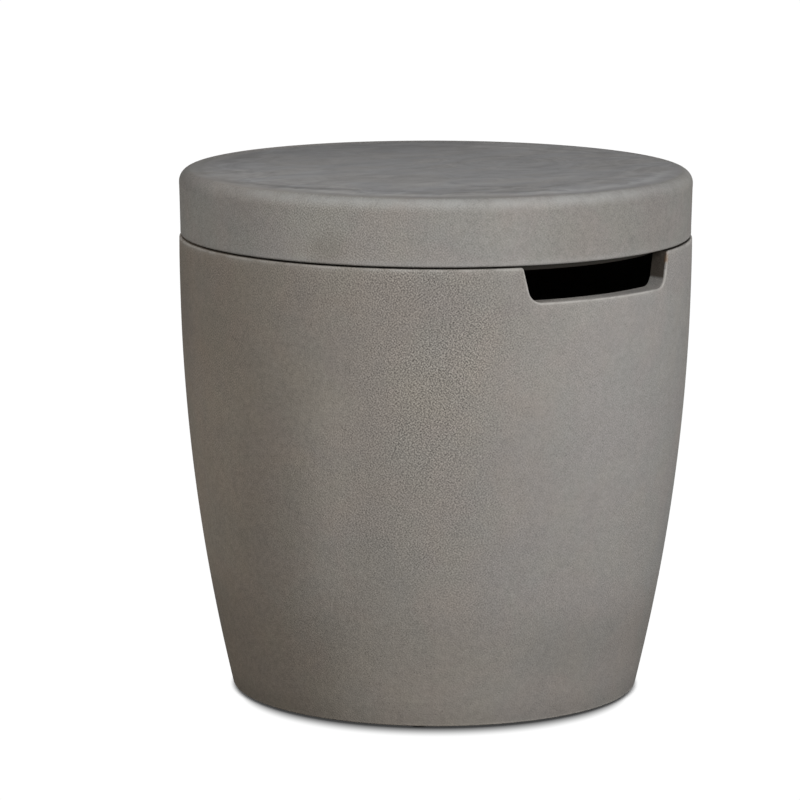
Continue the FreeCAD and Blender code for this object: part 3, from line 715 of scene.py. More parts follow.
class Tree:
    """Short calls for wiring a material."""

    def __init__(self, name):
        self.mat = bpy.data.materials.new(name)
        self.mat.use_nodes = True
        self.nt = self.mat.node_tree
        self.nt.nodes.clear()
        self.out = self.nt.nodes.new("ShaderNodeOutputMaterial")
        self.place = self.nt.nodes.new("ShaderNodeTexCoord").outputs["Object"]

    def put(self, socket, value):
        if isinstance(value, bpy.types.NodeSocket):
            self.nt.links.new(value, socket)
        elif value is not None:
            socket.default_value = value

    def node(self, kind, values=None, **props):
        nd = self.nt.nodes.new(kind)
        for k, v in props.items():
            setattr(nd, k, v)
        for k, v in (values or {}).items():
            self.put(nd.inputs[k], v)
        return nd

    def math(self, op, a, b=None, c=None, clamp=False):
        nd = self.node("ShaderNodeMath", {0: a}, operation=op, use_clamp=clamp)
        if b is not None:
            self.put(nd.inputs[1], b)
        if c is not None:
            self.put(nd.inputs[2], c)
        return nd.outputs[0]

    def noise(self, scale, detail=2.0, rough=0.5, at=None, warp=0.0, lac=2.0):
        nd = self.node(
            "ShaderNodeTexNoise",
            {
                "Vector": at or self.place,
                "Scale": scale,
                "Detail": detail,
                "Roughness": rough,
                "Lacunarity": lac,
                "Distortion": warp,
            },
        )
        return nd.outputs["Fac"]

    def cells(self, scale, at=None, feature="F1", spread=1.0, detail=0.0):
        nd = self.node(
            "ShaderNodeTexVoronoi",
            {
                "Vector": at or self.place,
                "Scale": scale,
                "Randomness": spread,
                "Detail": detail,
            },
            feature=feature,
        )
        return nd

    def remap(self, x, a, b, c=0.0, d=1.0, ease=True):
        nd = self.node(
            "ShaderNodeMapRange",
            {"Value": x, "From Min": a, "From Max": b, "To Min": c, "To Max": d},
            interpolation_type="SMOOTHSTEP" if ease else "LINEAR",
            clamp=True,
        )
        return nd.outputs["Result"]

    def mix(self, t, a, b):
        nd = self.node("ShaderNodeMix", data_type="RGBA", blend_type="MIX")
        self.put(nd.inputs["Factor"], t)
        self.put(nd.inputs[6], a)
        self.put(nd.inputs[7], b)
        return nd.outputs[2]

    def scale_colour(self, colour, by):
        nd = self.node("ShaderNodeVectorMath", {0: colour}, operation="SCALE")
        self.put(nd.inputs["Scale"], by)
        return nd.outputs[0]

    def layer(self, name):
        return self.node("ShaderNodeAttribute", attribute_name=name).outputs["Fac"]

    def shift(self, by=(0, 0, 0), size=(1, 1, 1), turn=(0, 0, 0), at=None):
        nd = self.node(
            "ShaderNodeMapping",
            {
                "Vector": at or self.place,
                "Location": by,
                "Rotation": turn,
                "Scale": size,
            },
        )
        return nd.outputs[0]

    def along(self, direction):
        """Distance along a direction from the origin, in metres."""
        nd = self.node(
            "ShaderNodeVectorMath",
            {0: self.place, 1: direction},
            operation="DOT_PRODUCT",
        )
        return nd.outputs["Value"]

    def bump(self, height, distance, strength=1.0, under=None):
        nd = self.node(
            "ShaderNodeBump",
            {"Strength": strength, "Distance": distance, "Height": height},
        )
        if under is not None:
            self.put(nd.inputs["Normal"], under)
        return nd.outputs[0]


def shader(t, colour, rough, normal, **constants):
    p = t.node("ShaderNodeBsdfPrincipled")
    t.put(p.inputs["Base Color"], colour)
    t.put(p.inputs["Roughness"], rough)
    t.put(p.inputs["Normal"], normal)
    for k, v in constants.items():
        p.inputs[k.replace("_", " ")].default_value = v
    t.nt.links.new(p.outputs[0], t.out.inputs["Surface"])
    return p


FACING = (-0.6508, -0.7593, 0.0)  # the show side of the table
TO_RIGHT = (0.7593, -0.6508, 0.0)
RUST_AT = (88.5, -227.5, 436.0)
MARK_AT = (-216.0, -105.0, 455.0)
SWIRL_AT = (81.6, -11.6, 0.0)
# single float strokes on the top, most of them trowel marks: centre, radius, width in
# mm, the side of the circle that shows, and how much lighter or darker it is; the two
# long arcs round (85, 85) are painted shade at the left end, and the last is a painted
# highlight ahead of the rim at the front right
STROKES = [
    ((82.0, -12.0), 34.0, 9.0, (-0.65, -0.76), -0.050),
    ((82.0, -12.0), 50.0, 8.0, (0.3, -0.95), 0.035),
    ((-30.0, -120.0), 41.0, 9.0, (-0.85, -0.52), -0.150),
    ((0.0, 0.0), 178.0, 12.0, (-0.02, -1.0), -0.060),
    ((0.0, 0.0), 142.0, 15.0, (0.05, -1.0), 0.070),
    ((-60.0, 90.0), 95.0, 14.0, (-0.9, -0.2), -0.045),
    ((60.0, 40.0), 150.0, 16.0, (-0.2, -0.95), -0.035),
    ((85.0, 85.0), 315.0, 14.0, (-0.912, -0.404), -0.130),
    ((85.0, 85.0), 315.0, 12.0, (-0.90, 0.44), -0.240),
    ((0.0, 0.0), 222.0, 13.0, (-0.2375, -0.9687), 0.290),
]


def grain(t, strength):
    """Fine sand grain: pale worm-like grains over dark gaps, with pits.

    The grain is kept to one size by taking away its own neighbours, a little
    way round the turned surface and up and down it.
    Gives (tone, pit, relief): tone is about -1..1 times strength.
    """
    a = t.noise(660.0, 0.0, 0.5)
    round_about = t.node(
        "ShaderNodeVectorMath", {0: (0.0, 0.0, 1.0), 1: t.place}, operation="CROSS_PRODUCT"
    ).outputs[0]
    round_about = t.node(
        "ShaderNodeVectorMath", {0: round_about}, operation="NORMALIZE"
    ).outputs[0]
    fine = t.math("SUBTRACT", a, 0.5)
    for step in (0.00113, -0.00113):
        beside = t.node(
            "ShaderNodeVectorMath",
            {0: t.place, 1: t.scale_colour(round_about, step)},
            operation="ADD",
        ).outputs[0]
        for at in (beside, t.shift((0.0, 0.0, step))):
            near = t.math("SUBTRACT", t.noise(660.0, 0.0, 0.5, at=at), 0.5)
            fine = t.math("MULTIPLY_ADD", near, -0.17, fine)
    b = t.noise(900.0, 0.0, 0.5, at=t.shift((3.1, 1.7, 0.4)))
    tone = t.math("MULTIPLY_ADD", t.math("SUBTRACT", b, 0.5), 0.45, fine)
    holes = t.cells(410.0).outputs["Distance"]
    pit = t.remap(holes, 0.05, 0.30, 1.0, 0.0)
    rare = t.remap(t.noise(60.0, 1.0, 0.5, at=t.shift((7.0, 2.0, 5.0))), 0.5, 0.68)
    pit = t.math("MULTIPLY", pit, rare)
    return t.math("MULTIPLY", tone, strength), pit, a


def bump_at(t, x, at, half):
    """1 where x is at a value, easing to 0 at half either side."""
    off = t.math("ABSOLUTE", t.math("SUBTRACT", x, at))
    return t.remap(off, 0.0, half, 1.0, 0.0)


def blotch(t, seed, size, far=1.0):
    """A faint hue drift between a pinkish and a greenish grey, as a factor."""
    n = t.noise(size, 3.0, 0.55, at=t.shift(seed), warp=0.5)
    pink = [1.0 + far * d for d in (0.012, -0.0055, -0.0045)] + [1.0]
    green = [1.0 + far * d for d in (-0.009, 0.003, -0.0055)] + [1.0]
    return t.mix(t.remap(n, 0.40, 0.60), pink, green)


def tinted(t, colour, tint):
    nd = t.node("ShaderNodeVectorMath", {0: colour, 1: tint}, operation="MULTIPLY")
    return nd.outputs[0]


def spot(t, centre, size, seed=0.0):
    """1 at a point given in mm, falling to 0 at size mm, with an uneven edge."""
    nd = t.node(
        "ShaderNodeVectorMath",
        {0: t.place, 1: tuple(c * MM for c in centre)},
        operation="DISTANCE",
    )
    wobble = t.noise(1400.0 / size, 2.0, 0.6, at=t.shift((seed, 3.0, 1.0)))
    d = t.math("MULTIPLY_ADD", t.math("SUBTRACT", wobble, 0.5), size * MM * 0.9, nd.outputs["Value"])
    return t.remap(d, size * MM * 0.15, size * MM, 1.0, 0.0)


def stroke(t, rough, centre, radius, width, towards):
    """1 along an arc of a circle on the flat top, fading off the shown side."""
    flat = t.shift(
        by=(-centre[0] * MM, -centre[1] * MM, 0.0), size=(1.0, 1.0, 0.0)
    )
    far = t.node("ShaderNodeVectorMath", {0: flat}, operation="LENGTH").outputs["Value"]
    off = t.math("SUBTRACT", far, radius * MM)
    off = t.math("MULTIPLY_ADD", t.math("SUBTRACT", rough, 0.5), 0.030, off)
    line = t.remap(t.math("ABSOLUTE", off), 0.0, width * MM, 1.0, 0.0)
    side = t.node(
        "ShaderNodeVectorMath", {0: flat, 1: (*towards, 0.0)}, operation="DOT_PRODUCT"
    ).outputs["Value"]
    return t.math("MULTIPLY", line, t.remap(side, 0.25 * radius * MM, 0.85 * radius * MM))


def concrete_shell():
    t = Tree("cast_concrete_shell")
    arris, zone = t.layer("arris"), t.layer("zone")
    height = t.along((0, 0, 1))
    right = t.along(TO_RIGHT)
    front = t.remap(t.along(FACING), -0.02, 0.10)
    # where the sand grain stands out most: a broad patch, high on the show side
    middle = t.remap(height, 0.05, 0.36, -0.052, 0.004)
    middle = t.math("SUBTRACT", middle, t.remap(height, 0.385, 0.430, 0.0, 0.020))
    patch = t.math("ABSOLUTE", t.math("SUBTRACT", right, middle))
    patch = t.remap(patch, 0.010, 0.118, 1.0, 0.0)
    patch = t.math(
        "MULTIPLY",
        t.math("MULTIPLY", patch, front),
        t.remap(height, 0.0, 0.385, ease=False),
    )
    cloudy = t.remap(t.noise(11.0, 2.0, 0.5), 0.30, 0.60, 0.72, 1.0)
    patch = t.math("MULTIPLY", patch, cloudy)
    skin = t.remap(t.noise(9.0, 2.0, 0.5, at=t.shift((3.4, 0.1, 1.7))), 0.36, 0.62, 0.28, 0.62)
    skin = t.math("MULTIPLY", skin, t.remap(height, 0.0, 0.12, 0.34, 1.0))
    damp = t.math("MULTIPLY", t.remap(right, 0.05, 0.12), t.remap(height, 0.16, 0.26, 1.0, 0.0))
    skin = t.math("MULTIPLY_ADD", damp, 0.24, skin)
    skin = t.math("ADD", skin, t.remap(height, 0.375, 0.430, 0.0, 0.20))
    # elsewhere the skin is closer, with a few rougher clouds
    loose = t.remap(t.noise(7.0, 2.0, 0.5, at=t.shift((6.2, 3.1, 0.7))), 0.42, 0.66)
    loose = t.math("MULTIPLY", loose, t.math("SUBTRACT", 1.0, front))
    skin = t.math("MULTIPLY", skin, t.remap(right, -0.20, -0.08, 1.25, 1.0))
    strength = t.math("MULTIPLY_ADD", patch, 1.20, skin)
    strength = t.math("MULTIPLY_ADD", loose, 0.45, strength)
    tone, pit, a = grain(t, strength)
    # brown fines gather on one side of the show face and low down
    big = t.noise(6.5, 3.0, 0.55, at=t.shift((0.31, 0.12, 0.55)), warp=0.4)
    mid = t.noise(21.0, 4.0, 0.58, at=t.shift((1.9, 0.2, 4.0)), warp=0.3)
    small = t.noise(75.0, 3.0, 0.6, at=t.shift((0.9, 3.2, 1.0)))
    lean = t.remap(right, -0.22, -0.03, 0.30, 0.0)
    lean = t.math("ADD", lean, t.remap(right, -0.20, 0.17, 0.41, 0.08, ease=False))
    lean = t.math("ADD", lean, t.remap(right, 0.00, 0.10, 0.13, 0.0))
    lean = t.math("ADD", lean, t.remap(height, 0.03, 0.17, 0.14, 0.0))
    shown = t.remap(t.along(FACING), -0.17, -0.03)
    lean = t.math("MULTIPLY_ADD", t.math("SUBTRACT", lean, 0.30), shown, 0.28)
    brown = t.math("MULTIPLY_ADD", t.math("SUBTRACT", big, 0.5), 0.42, lean)
    brown = t.math("MULTIPLY_ADD", t.math("SUBTRACT", mid, 0.5), 0.42, brown)
    brown = t.remap(brown, 0.0, 1.0, ease=False)
    colour = t.mix(brown, srgb(132.2, 129.8, 127), srgb(138, 127.6, 114.4))
    colour = tinted(t, colour, blotch(t, (2.4, 7.7, 1.1), 17.0, 0.75))
    # broad light and dark, and a faint mottle
    level = t.math("MULTIPLY_ADD", t.math("SUBTRACT", mid, 0.5), 0.16, 1.0)
    mottle = t.noise(190.0, 1.0, 0.75, at=t.shift((4.1, 0.3, 2.2)))
    mottle = t.math(
        "MULTIPLY", t.math("SUBTRACT", mottle, 0.5), t.remap(strength, 0.40, 1.30, 0.27, 0.04)
    )
    mottle = t.math("MULTIPLY", mottle, t.remap(right, -0.15, 0.10, 1.45, 1.0))
    level = t.math("ADD", level, mottle)
    level = t.math("MULTIPLY_ADD", t.math("SUBTRACT", small, 0.5), 0.12, level)
    level = t.math("ADD", level, tone)
    level = t.math("SUBTRACT", level, t.math("MULTIPLY", pit, 0.30))
    # painted light: paler towards the right of the show side, higher up
    painted_light_area = t.math("MULTIPLY", t.remap(right, 0.03, 0.17), t.remap(height, 0.10, 0.35, 0.5, 1.0))
    level = t.math("MULTIPLY", level, t.math("MULTIPLY_ADD", painted_light_area, 0.10, 1.035))
    # soft upright bands of painted light and shade: pale beside the brown side, a little
    # darker low down, under the rim and at the far side, and darker at the far left edge
    waist = t.math("MULTIPLY", t.remap(height, 0.09, 0.15), t.remap(height, 0.29, 0.37, 1.0, 0.0))
    painted_light_bands = t.math("MULTIPLY", bump_at(t, right, -0.098, 0.045), 0.13)
    painted_light_bands = t.math("ADD", painted_light_bands, t.remap(right, -0.210, -0.165, 0.15, 0.0))
    painted_light_bands = t.math("MULTIPLY", painted_light_bands, waist)
    low = t.remap(height, 0.06, 0.13, 1.0, 0.0)
    dull = t.math("MULTIPLY", t.remap(right, -0.070, -0.110), 0.07)
    dull = t.math("MULTIPLY_ADD", t.remap(right, 0.04, 0.13), 0.13, dull)
    painted_light_bands = t.math("SUBTRACT", painted_light_bands, t.math("MULTIPLY", low, dull))
    high = t.math("MULTIPLY", t.remap(height, 0.35, 0.40), bump_at(t, right, 0.02, 0.12))
    painted_light_bands = t.math("MULTIPLY_ADD", high, -0.07, painted_light_bands)
    ebb = t.math("MULTIPLY", bump_at(t, height, 0.085, 0.050), t.remap(right, -0.08, 0.00))
    painted_light_bands = t.math("MULTIPLY_ADD", ebb, -0.05, painted_light_bands)
    painted_light_bands = t.math("ADD", painted_light_bands, t.remap(right, -0.248, -0.225, -0.17, 0.0))
    painted_light_bands = t.math("MULTIPLY", painted_light_bands, shown)
    level = t.math("MULTIPLY", level, t.math("ADD", painted_light_bands, 1.0))
    # painted light on the foot's rounding, lifting the shade where it faces the floor
    painted_foot_light = t.remap(height, 0.0018, 0.0050, 1.2, 0.0, ease=False)
    painted_foot_light = t.math("MULTIPLY", painted_foot_light, t.remap(zone, 2.5, 2.9, 1.0, 0.0))
    level = t.math("MULTIPLY", level, t.math("ADD", painted_foot_light, 1.0))
    # painted shade: darker over the lowest 30 mm, towards the floor
    level = t.math("MULTIPLY", level, t.remap(height, 0.004, 0.030, 0.90, 1.0))
    colour = t.scale_colour(colour, level)
    # worn, paler arrises, partly a painted highlight where the edges catch the light
    wear_and_highlight = t.math(
        "MULTIPLY",
        arris,
        t.remap(t.noise(45.0, 3.0, 0.6, at=t.shift((2.0, 9.0, 1.0))), 0.30, 0.62, 0.25, 1.0),
    )
    colour = t.mix(t.math("MULTIPLY", wear_and_highlight, 0.40), colour, srgb(174, 171, 165))
    # painted highlight: a pale line along the arrises high up, weaker along the rim
    painted_edge_highlight = t.math("MULTIPLY", t.remap(arris, 0.80, 0.98), t.remap(wear_and_highlight, 0.3, 0.9, 0.04, 0.24))
    painted_edge_highlight = t.math("MULTIPLY", painted_edge_highlight, t.remap(height, 0.40, 0.405))
    painted_edge_highlight = t.math("MULTIPLY", painted_edge_highlight, t.remap(height, 0.4404, 0.4420, 1.0, 0.45))
    colour = t.mix(painted_edge_highlight, colour, srgb(202, 199, 194))
    # faces of the cut-out: painted light below, a painted shadow of the lid above, and painted shade
    # on the joint face
    on_cut = t.math(
        "MULTIPLY", t.remap(zone, 0.5, 0.9), t.remap(zone, 1.05, 1.3, 1.0, 0.0)
    )
    # painted light: the cut faces below the lid's shadow are lighter
    fresh = t.math("MULTIPLY", on_cut, t.remap(height, 0.4165, 0.4195, 1.0, 0.0))
    colour = t.scale_colour(colour, t.math("MULTIPLY_ADD", fresh, 0.85, 1.0))
    # painted shadow of the lid, brown-dark on the upper cut faces
    painted_lid_shadow = t.remap(height, 0.4165, 0.4195, 0.0, 0.72)
    colour = t.mix(t.math("MULTIPLY", on_cut, painted_lid_shadow), colour, srgb(92, 80, 66))
    # painted shade: the outer edge of the rim's seat, in the gap under the lid, is painted near black,
    # fading towards the left end
    ends = t.remap(right, -0.220, -0.120, 0.05, 1.0)
    joint = t.math("MULTIPLY", t.remap(zone, 0.55, 0.95), t.remap(height, 0.4412, 0.4428))
    out = t.node(
        "ShaderNodeVectorMath", {0: t.shift(size=(1.0, 1.0, 0.0))}, operation="LENGTH"
    ).outputs["Value"]
    out = t.math("MULTIPLY_ADD", t.math("SUBTRACT", small, 0.5), 0.008, out)
    joint = t.math("MULTIPLY", joint, t.remap(out, 0.2365, 0.2440))
    joint = t.math("MULTIPLY", joint, ends)
    joint = t.math("MULTIPLY", joint, t.remap(mid, 0.36, 0.56, 0.66, 1.0))
    colour = t.mix(t.math("MULTIPLY", joint, 0.86), colour, srgb(44, 41, 37))
    # a small rusty mark on the cut-out's upper arris
    rust = t.math("MULTIPLY", spot(t, RUST_AT, 7.0, 4.0), t.remap(arris, 0.35, 0.80))
    colour = t.mix(t.math("MULTIPLY", rust, 0.70), colour, srgb(132, 98, 64))
    # painted shade: the inside is darker, where the hollow is in shade
    inner = t.remap(zone, 1.2, 2.0)
    colour = t.mix(t.math("MULTIPLY", inner, 0.55), colour, srgb(78, 74, 69))
    rough = t.remap(mid, 0.3, 0.7, 0.82, 0.95, ease=False)
    lump = t.noise(160.0, 3.0, 0.55, at=t.shift((5.0, 5.0, 2.0)))
    n = t.bump(lump, 0.0005, 0.30)
    relief = t.math("SUBTRACT", a, t.math("MULTIPLY", pit, 0.9))
    n = t.bump(relief, 0.0006, t.remap(strength, 0.5, 1.9, 0.35, 0.70, ease=False), n)
    shader(t, colour, rough, n, Specular_IOR_Level=0.25)
    return t.mat


def concrete_lid():
    t = Tree("cast_concrete_lid")
    arris, zone, groove = t.layer("arris"), t.layer("zone"), t.layer("groove")
    on_top = t.remap(zone, 0.75, 1.75)
    height = t.along((0, 0, 1))
    right = t.along(TO_RIGHT)
    front = t.remap(t.along(FACING), -0.02, 0.12)
    patch = t.math("ABSOLUTE", t.math("ADD", right, 0.075))
    patch = t.math("MULTIPLY", t.remap(patch, 0.015, 0.165, 1.0, 0.0), front)
    skin = t.remap(t.noise(12.0, 2.0, 0.5, at=t.shift((1.4, 6.1, 2.7))), 0.36, 0.62, 0.28, 0.50)
    strength = t.math("MULTIPLY_ADD", patch, 0.40, skin)
    strength = t.math("MULTIPLY", strength, t.remap(on_top, 0.0, 1.0, 1.0, 0.07))
    tone, pit, a = grain(t, strength)
    big = t.noise(7.0, 3.0, 0.55, at=t.shift((4.3, 0.6, 2.1)), warp=0.5)
    mid = t.noise(24.0, 4.0, 0.58, at=t.shift((0.5, 8.2, 1.3)), warp=0.3)
    small = t.noise(80.0, 3.0, 0.6, at=t.shift((6.1, 0.2, 0.7)))
    lean = t.remap(right, -0.22, 0.20, 0.30, 0.07, ease=False)
    brown = t.math("MULTIPLY_ADD", t.math("SUBTRACT", big, 0.5), 0.8, lean)
    brown = t.math("MULTIPLY_ADD", t.math("SUBTRACT", mid, 0.5), 0.6, brown)
    brown = t.remap(brown, 0.0, 1.0, ease=False)
    side = t.mix(brown, srgb(135.8, 133.1, 129.6), srgb(138, 131.2, 120.8))
    side = tinted(t, side, blotch(t, (8.4, 1.7, 3.1), 19.0))
    # floated top: cooler, with long soft trowel swirls
    swirl_at = t.shift((0.2, 0.7, 0.0), (1.0, 1.9, 1.0), (0, 0, math.radians(40.6)))
    swirl = t.noise(7.5, 3.0, 0.55, at=swirl_at, warp=1.8)
    streak = t.noise(17.0, 3.0, 0.60, at=swirl_at, warp=1.3)
    fleck = t.noise(46.0, 2.0, 0.55, at=t.shift((1.2, 5.7, 0.0)), warp=0.6)
    top = t.mix(t.remap(swirl, 0.38, 0.62), srgb(132.4, 131.9, 132.4), srgb(133.6, 131.9, 130.6))
    level = t.math("MULTIPLY_ADD", t.math("SUBTRACT", streak, 0.5), 0.54, 1.0)
    level = t.math("MULTIPLY_ADD", t.math("SUBTRACT", fleck, 0.5), 0.17, level)
    # rings left where the float was turned on the spot
    flat = t.shift(size=(1.0, 1.0, 0.0))
    turned = t.node(
        "ShaderNodeVectorMath",
        {0: flat, 1: tuple(c * MM for c in SWIRL_AT)},
        operation="DISTANCE",
    ).outputs["Value"]
    off = t.math("MULTIPLY", t.math("SUBTRACT", streak, 0.5), 0.034)
    turned = t.math("ADD", turned, off)
    rings = t.node(
        "ShaderNodeTexNoise",
        {"W": turned, "Scale": 120.0, "Detail": 2.0, "Roughness": 0.55},
        noise_dimensions="1D",
    ).outputs["Fac"]
    rings = t.math("MULTIPLY", t.math("SUBTRACT", rings, 0.5), t.remap(turned, 0.050, 0.115, 1.0, 0.0))
    rings = t.math("MULTIPLY", rings, t.remap(swirl, 0.40, 0.56, 0.35, 1.0))
    level = t.math("MULTIPLY_ADD", rings, 0.62, level)
    for centre, radius, width, towards, amount in STROKES:
        level = t.math(
            "MULTIPLY_ADD", stroke(t, streak, centre, radius, width, towards), amount, level
        )
    # and long arcs swept along the edge
    sweep = t.node("ShaderNodeVectorMath", {0: flat}, operation="LENGTH").outputs["Value"]
    sweep = t.math("MULTIPLY_ADD", t.math("SUBTRACT", swirl, 0.5), 0.10, sweep)
    arcs = t.node(
        "ShaderNodeTexNoise",
        {"W": sweep, "Scale": 70.0, "Detail": 3.0, "Roughness": 0.6},
        noise_dimensions="1D",
    ).outputs["Fac"]
    arcs = t.math("MULTIPLY", t.math("SUBTRACT", arcs, 0.5), t.remap(sweep, 0.10, 0.19))
    level = t.math("MULTIPLY_ADD", arcs, 0.36, level)
    near = t.along(FACING)
    # painted light: the top is painted lighter towards the front
    shade = t.remap(near, -0.24, 0.24, 1.02, 1.30, ease=False)
    # painted light and shade on the top: lighter over the front middle, darker along the far edge of
    # the brown side and at the far left, a little lighter far back on the right
    painted_light_area = t.math("MULTIPLY", t.remap(near, -0.02, 0.06), t.remap(right, -0.03, 0.05, 1.0, 0.55))
    painted_light_area = t.math("MULTIPLY", painted_light_area, t.remap(right, 0.12, 0.17, 1.0, 0.2))
    shade = t.math("MULTIPLY_ADD", painted_light_area, 0.10, shade)
    painted_shade_back = t.remap(t.along((0.2375, 0.9687, 0.0)), 0.095, 0.185)
    painted_shade_back = t.math("MULTIPLY", painted_shade_back, t.remap(right, -0.02, 0.09, 1.0, 0.0))
    shade = t.math("MULTIPLY_ADD", painted_shade_back, -0.21, shade)
    painted_shade_back = t.remap(t.along((-0.217, 0.976, 0.0)), 0.120, 0.170)
    painted_shade_back = t.math("MULTIPLY", painted_shade_back, t.remap(right, -0.195, -0.165, 1.0, 0.0))
    shade = t.math("MULTIPLY_ADD", painted_shade_back, -0.17, shade)
    pale = t.math("MULTIPLY", bump_at(t, right, 0.085, 0.070), t.remap(near, -0.17, -0.10, 1.0, 0.0))
    shade = t.math("MULTIPLY_ADD", pale, 0.06, shade)
    level = t.math("MULTIPLY", level, shade)
    top = t.scale_colour(top, level)
    # painted light and shade on the side: lighter on the left, darker on the right, with both ends
    # adjusted
    spread = t.remap(right, -0.21, 0.21, 1.22, 0.88, ease=False)
    spread = t.math("MULTIPLY_ADD", bump_at(t, right, -0.125, 0.060), 0.10, spread)
    spread = t.math("MULTIPLY_ADD", bump_at(t, right, 0.075, 0.050), 0.08, spread)
    spread = t.math("ADD", spread, t.remap(right, 0.205, 0.235, 0.0, 0.08))
    spread = t.math("ADD", spread, t.remap(right, -0.247, -0.225, -0.15, 0.0))
    # painted shade at the left end, high on the side and on the rounding
    end = t.math("MULTIPLY", t.remap(right, -0.240, -0.200, 1.0, 0.0), t.remap(height, 0.490, 0.503))
    spread = t.math("MULTIPLY_ADD", end, -0.30, spread)
    side = t.scale_colour(side, spread)
    far = t.node("ShaderNodeVectorMath", {0: flat}, operation="LENGTH").outputs["Value"]
    # the floated skin runs nearer the edge on the far right
    edge = t.math("SUBTRACT", far, t.remap(right, 0.05, 0.13, 0.0, 0.014))
    floated = t.math("MULTIPLY", on_top, t.remap(edge, 0.206, 0.240, 1.0, 0.30))
    colour = t.mix(floated, side, top)
    level = t.math("MULTIPLY_ADD", t.math("SUBTRACT", mid, 0.5), 0.14, 1.0)
    mottle = t.noise(190.0, 1.0, 0.75, at=t.shift((5.1, 3.3, 0.2)))
    mottle = t.math("MULTIPLY", t.math("SUBTRACT", mottle, 0.5), t.remap(on_top, 0.0, 1.0, 1.0, 0.06))
    mottle = t.math("MULTIPLY", mottle, t.remap(patch, 0.2, 0.9, 0.36, 0.14))
    level = t.math("ADD", level, mottle)
    level = t.math("MULTIPLY_ADD", t.math("SUBTRACT", small, 0.5), 0.10, level)
    level = t.math("ADD", level, tone)
    level = t.math("SUBTRACT", level, t.math("MULTIPLY", pit, 0.22))
    # painted shade along the valley where the flat top meets the rounding
    level = t.math("SUBTRACT", level, t.math("MULTIPLY", groove, 0.15))
    colour = t.scale_colour(colour, level)
    # paler edges: worn lower down, and a painted highlight along the rim's rounding
    wear_and_highlight = t.math(
        "MULTIPLY",
        arris,
        t.remap(t.noise(50.0, 3.0, 0.6, at=t.shift((1.0, 4.0, 8.0))), 0.30, 0.62, 0.55, 1.0),
    )
    upper = t.remap(height, 0.470, 0.495, 0.22, 0.64)
    upper = t.math("MULTIPLY", upper, t.remap(right, -0.225, -0.140, 0.0, 1.0))
    upper = t.math("MULTIPLY", upper, t.remap(right, 0.150, 0.235, 1.0, 0.42))
    colour = t.mix(t.math("MULTIPLY", wear_and_highlight, upper), colour, srgb(177, 177, 175))
    # a faint brown mark above the joint on the show side
    mark = spot(t, MARK_AT, 30.0, 2.0)
    colour = t.mix(t.math("MULTIPLY", mark, 0.22), colour, srgb(104, 90, 72))
    # painted shade on the lid's underside and in its hollow
    inside = t.math("MULTIPLY", t.remap(zone, 0.55, 0.9), t.remap(zone, 1.0, 1.3, 1.0, 0.0))
    inside = t.math("MULTIPLY", inside, t.remap(height, 0.4925, 0.4945, 1.0, 0.0))
    colour = t.mix(t.math("MULTIPLY", inside, 0.55), colour, srgb(88, 83, 75))
    # painted shade: the locating ring, in shade under the lid, is painted near black, as is the seat
    # beside it
    ring = t.math("MULTIPLY", inside, t.remap(height, 0.4452, 0.4462, 1.0, 0.0))
    ring = t.math("MULTIPLY", ring, t.remap(far, 0.2190, 0.2205))
    colour = t.mix(t.math("MULTIPLY", ring, 0.95), colour, srgb(37, 34, 29))
    rough = t.remap(on_top, 0.0, 1.0, 0.88, 0.80)
    lump = t.noise(150.0, 3.0, 0.55, at=t.shift((2.0, 7.0, 3.0)))
    soft = t.remap(on_top, 0.0, 1.0, 1.0, 0.22)
    n = t.bump(lump, 0.0005, t.math("MULTIPLY", soft, 0.32))
    relief = t.math("SUBTRACT", a, t.math("MULTIPLY", pit, 0.9))
    n = t.bump(relief, 0.0006, t.math("MULTIPLY", soft, 0.50), n)
    shader(t, colour, rough, n, Specular_IOR_Level=0.22)
    return t.mat


def rubber(name, tone):
    t = Tree(name)
    dust = t.noise(420.0, 4.0, 0.6)
    patch = t.noise(60.0, 3.0, 0.5, at=t.shift((2.0, 1.0, 0.0)))
    mix = t.math("MULTIPLY", t.remap(dust, 0.45, 0.70), t.remap(patch, 0.35, 0.65))
    colour = t.mix(mix, srgb(*tone), srgb(92, 90, 86))
    rough = t.remap(patch, 0.3, 0.7, 0.58, 0.78)
    n = t.bump(t.noise(1500.0, 2.0, 0.6), 0.0001, 0.5)
    shader(t, colour, rough, n, Specular_IOR_Level=0.4)
    return t.mat


def metal(name, light, dark, turned):
    t = Tree(name)
    # turned parts keep fine tool rings; height alone drives them
    rings = t.noise(2600.0, 1.0, 0.5, at=t.shift(size=(0.05, 0.05, turned)))
    tarnish = t.noise(240.0, 4.0, 0.6)
    colour = t.mix(t.remap(tarnish, 0.42, 0.68), srgb(*light), srgb(*dark))
    colour = t.scale_colour(
        colour, t.math("MULTIPLY_ADD", t.math("SUBTRACT", rings, 0.5), 0.25, 1.0)
    )
    rough = t.remap(tarnish, 0.3, 0.7, 0.28, 0.48)
    n = t.bump(rings, 0.00005, 0.5)
    shader(t, colour, rough, n, Metallic=1.0)
    return t.mat


def dress(ob, mat):
    ob.data.materials.clear()
    ob.data.materials.append(mat)


dress(shell, concrete_shell())
dress(lid, concrete_lid())
soft_rubber = rubber("bumper_rubber_soft", (42, 42, 44))
hard_rubber = rubber("glide_rubber_hard", (50, 50, 51))
for ob in bumpers:
    dress(ob, soft_rubber)
for ob in glides:
    dress(ob, hard_rubber)
steel = metal("screw_steel", (198, 198, 194), (150, 148, 142), 1.0)
brass = metal("insert_brass", (206, 172, 108), (150, 118, 66), 1.0)
for name, mat in (("glide_screws", steel), ("glide_inserts", brass)):
    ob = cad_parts[name]
    for k in range(max(1, len(ob.material_slots))):
        if len(ob.material_slots) <= k:
            ob.data.materials.append(mat)
        ob.material_slots[k].material = mat


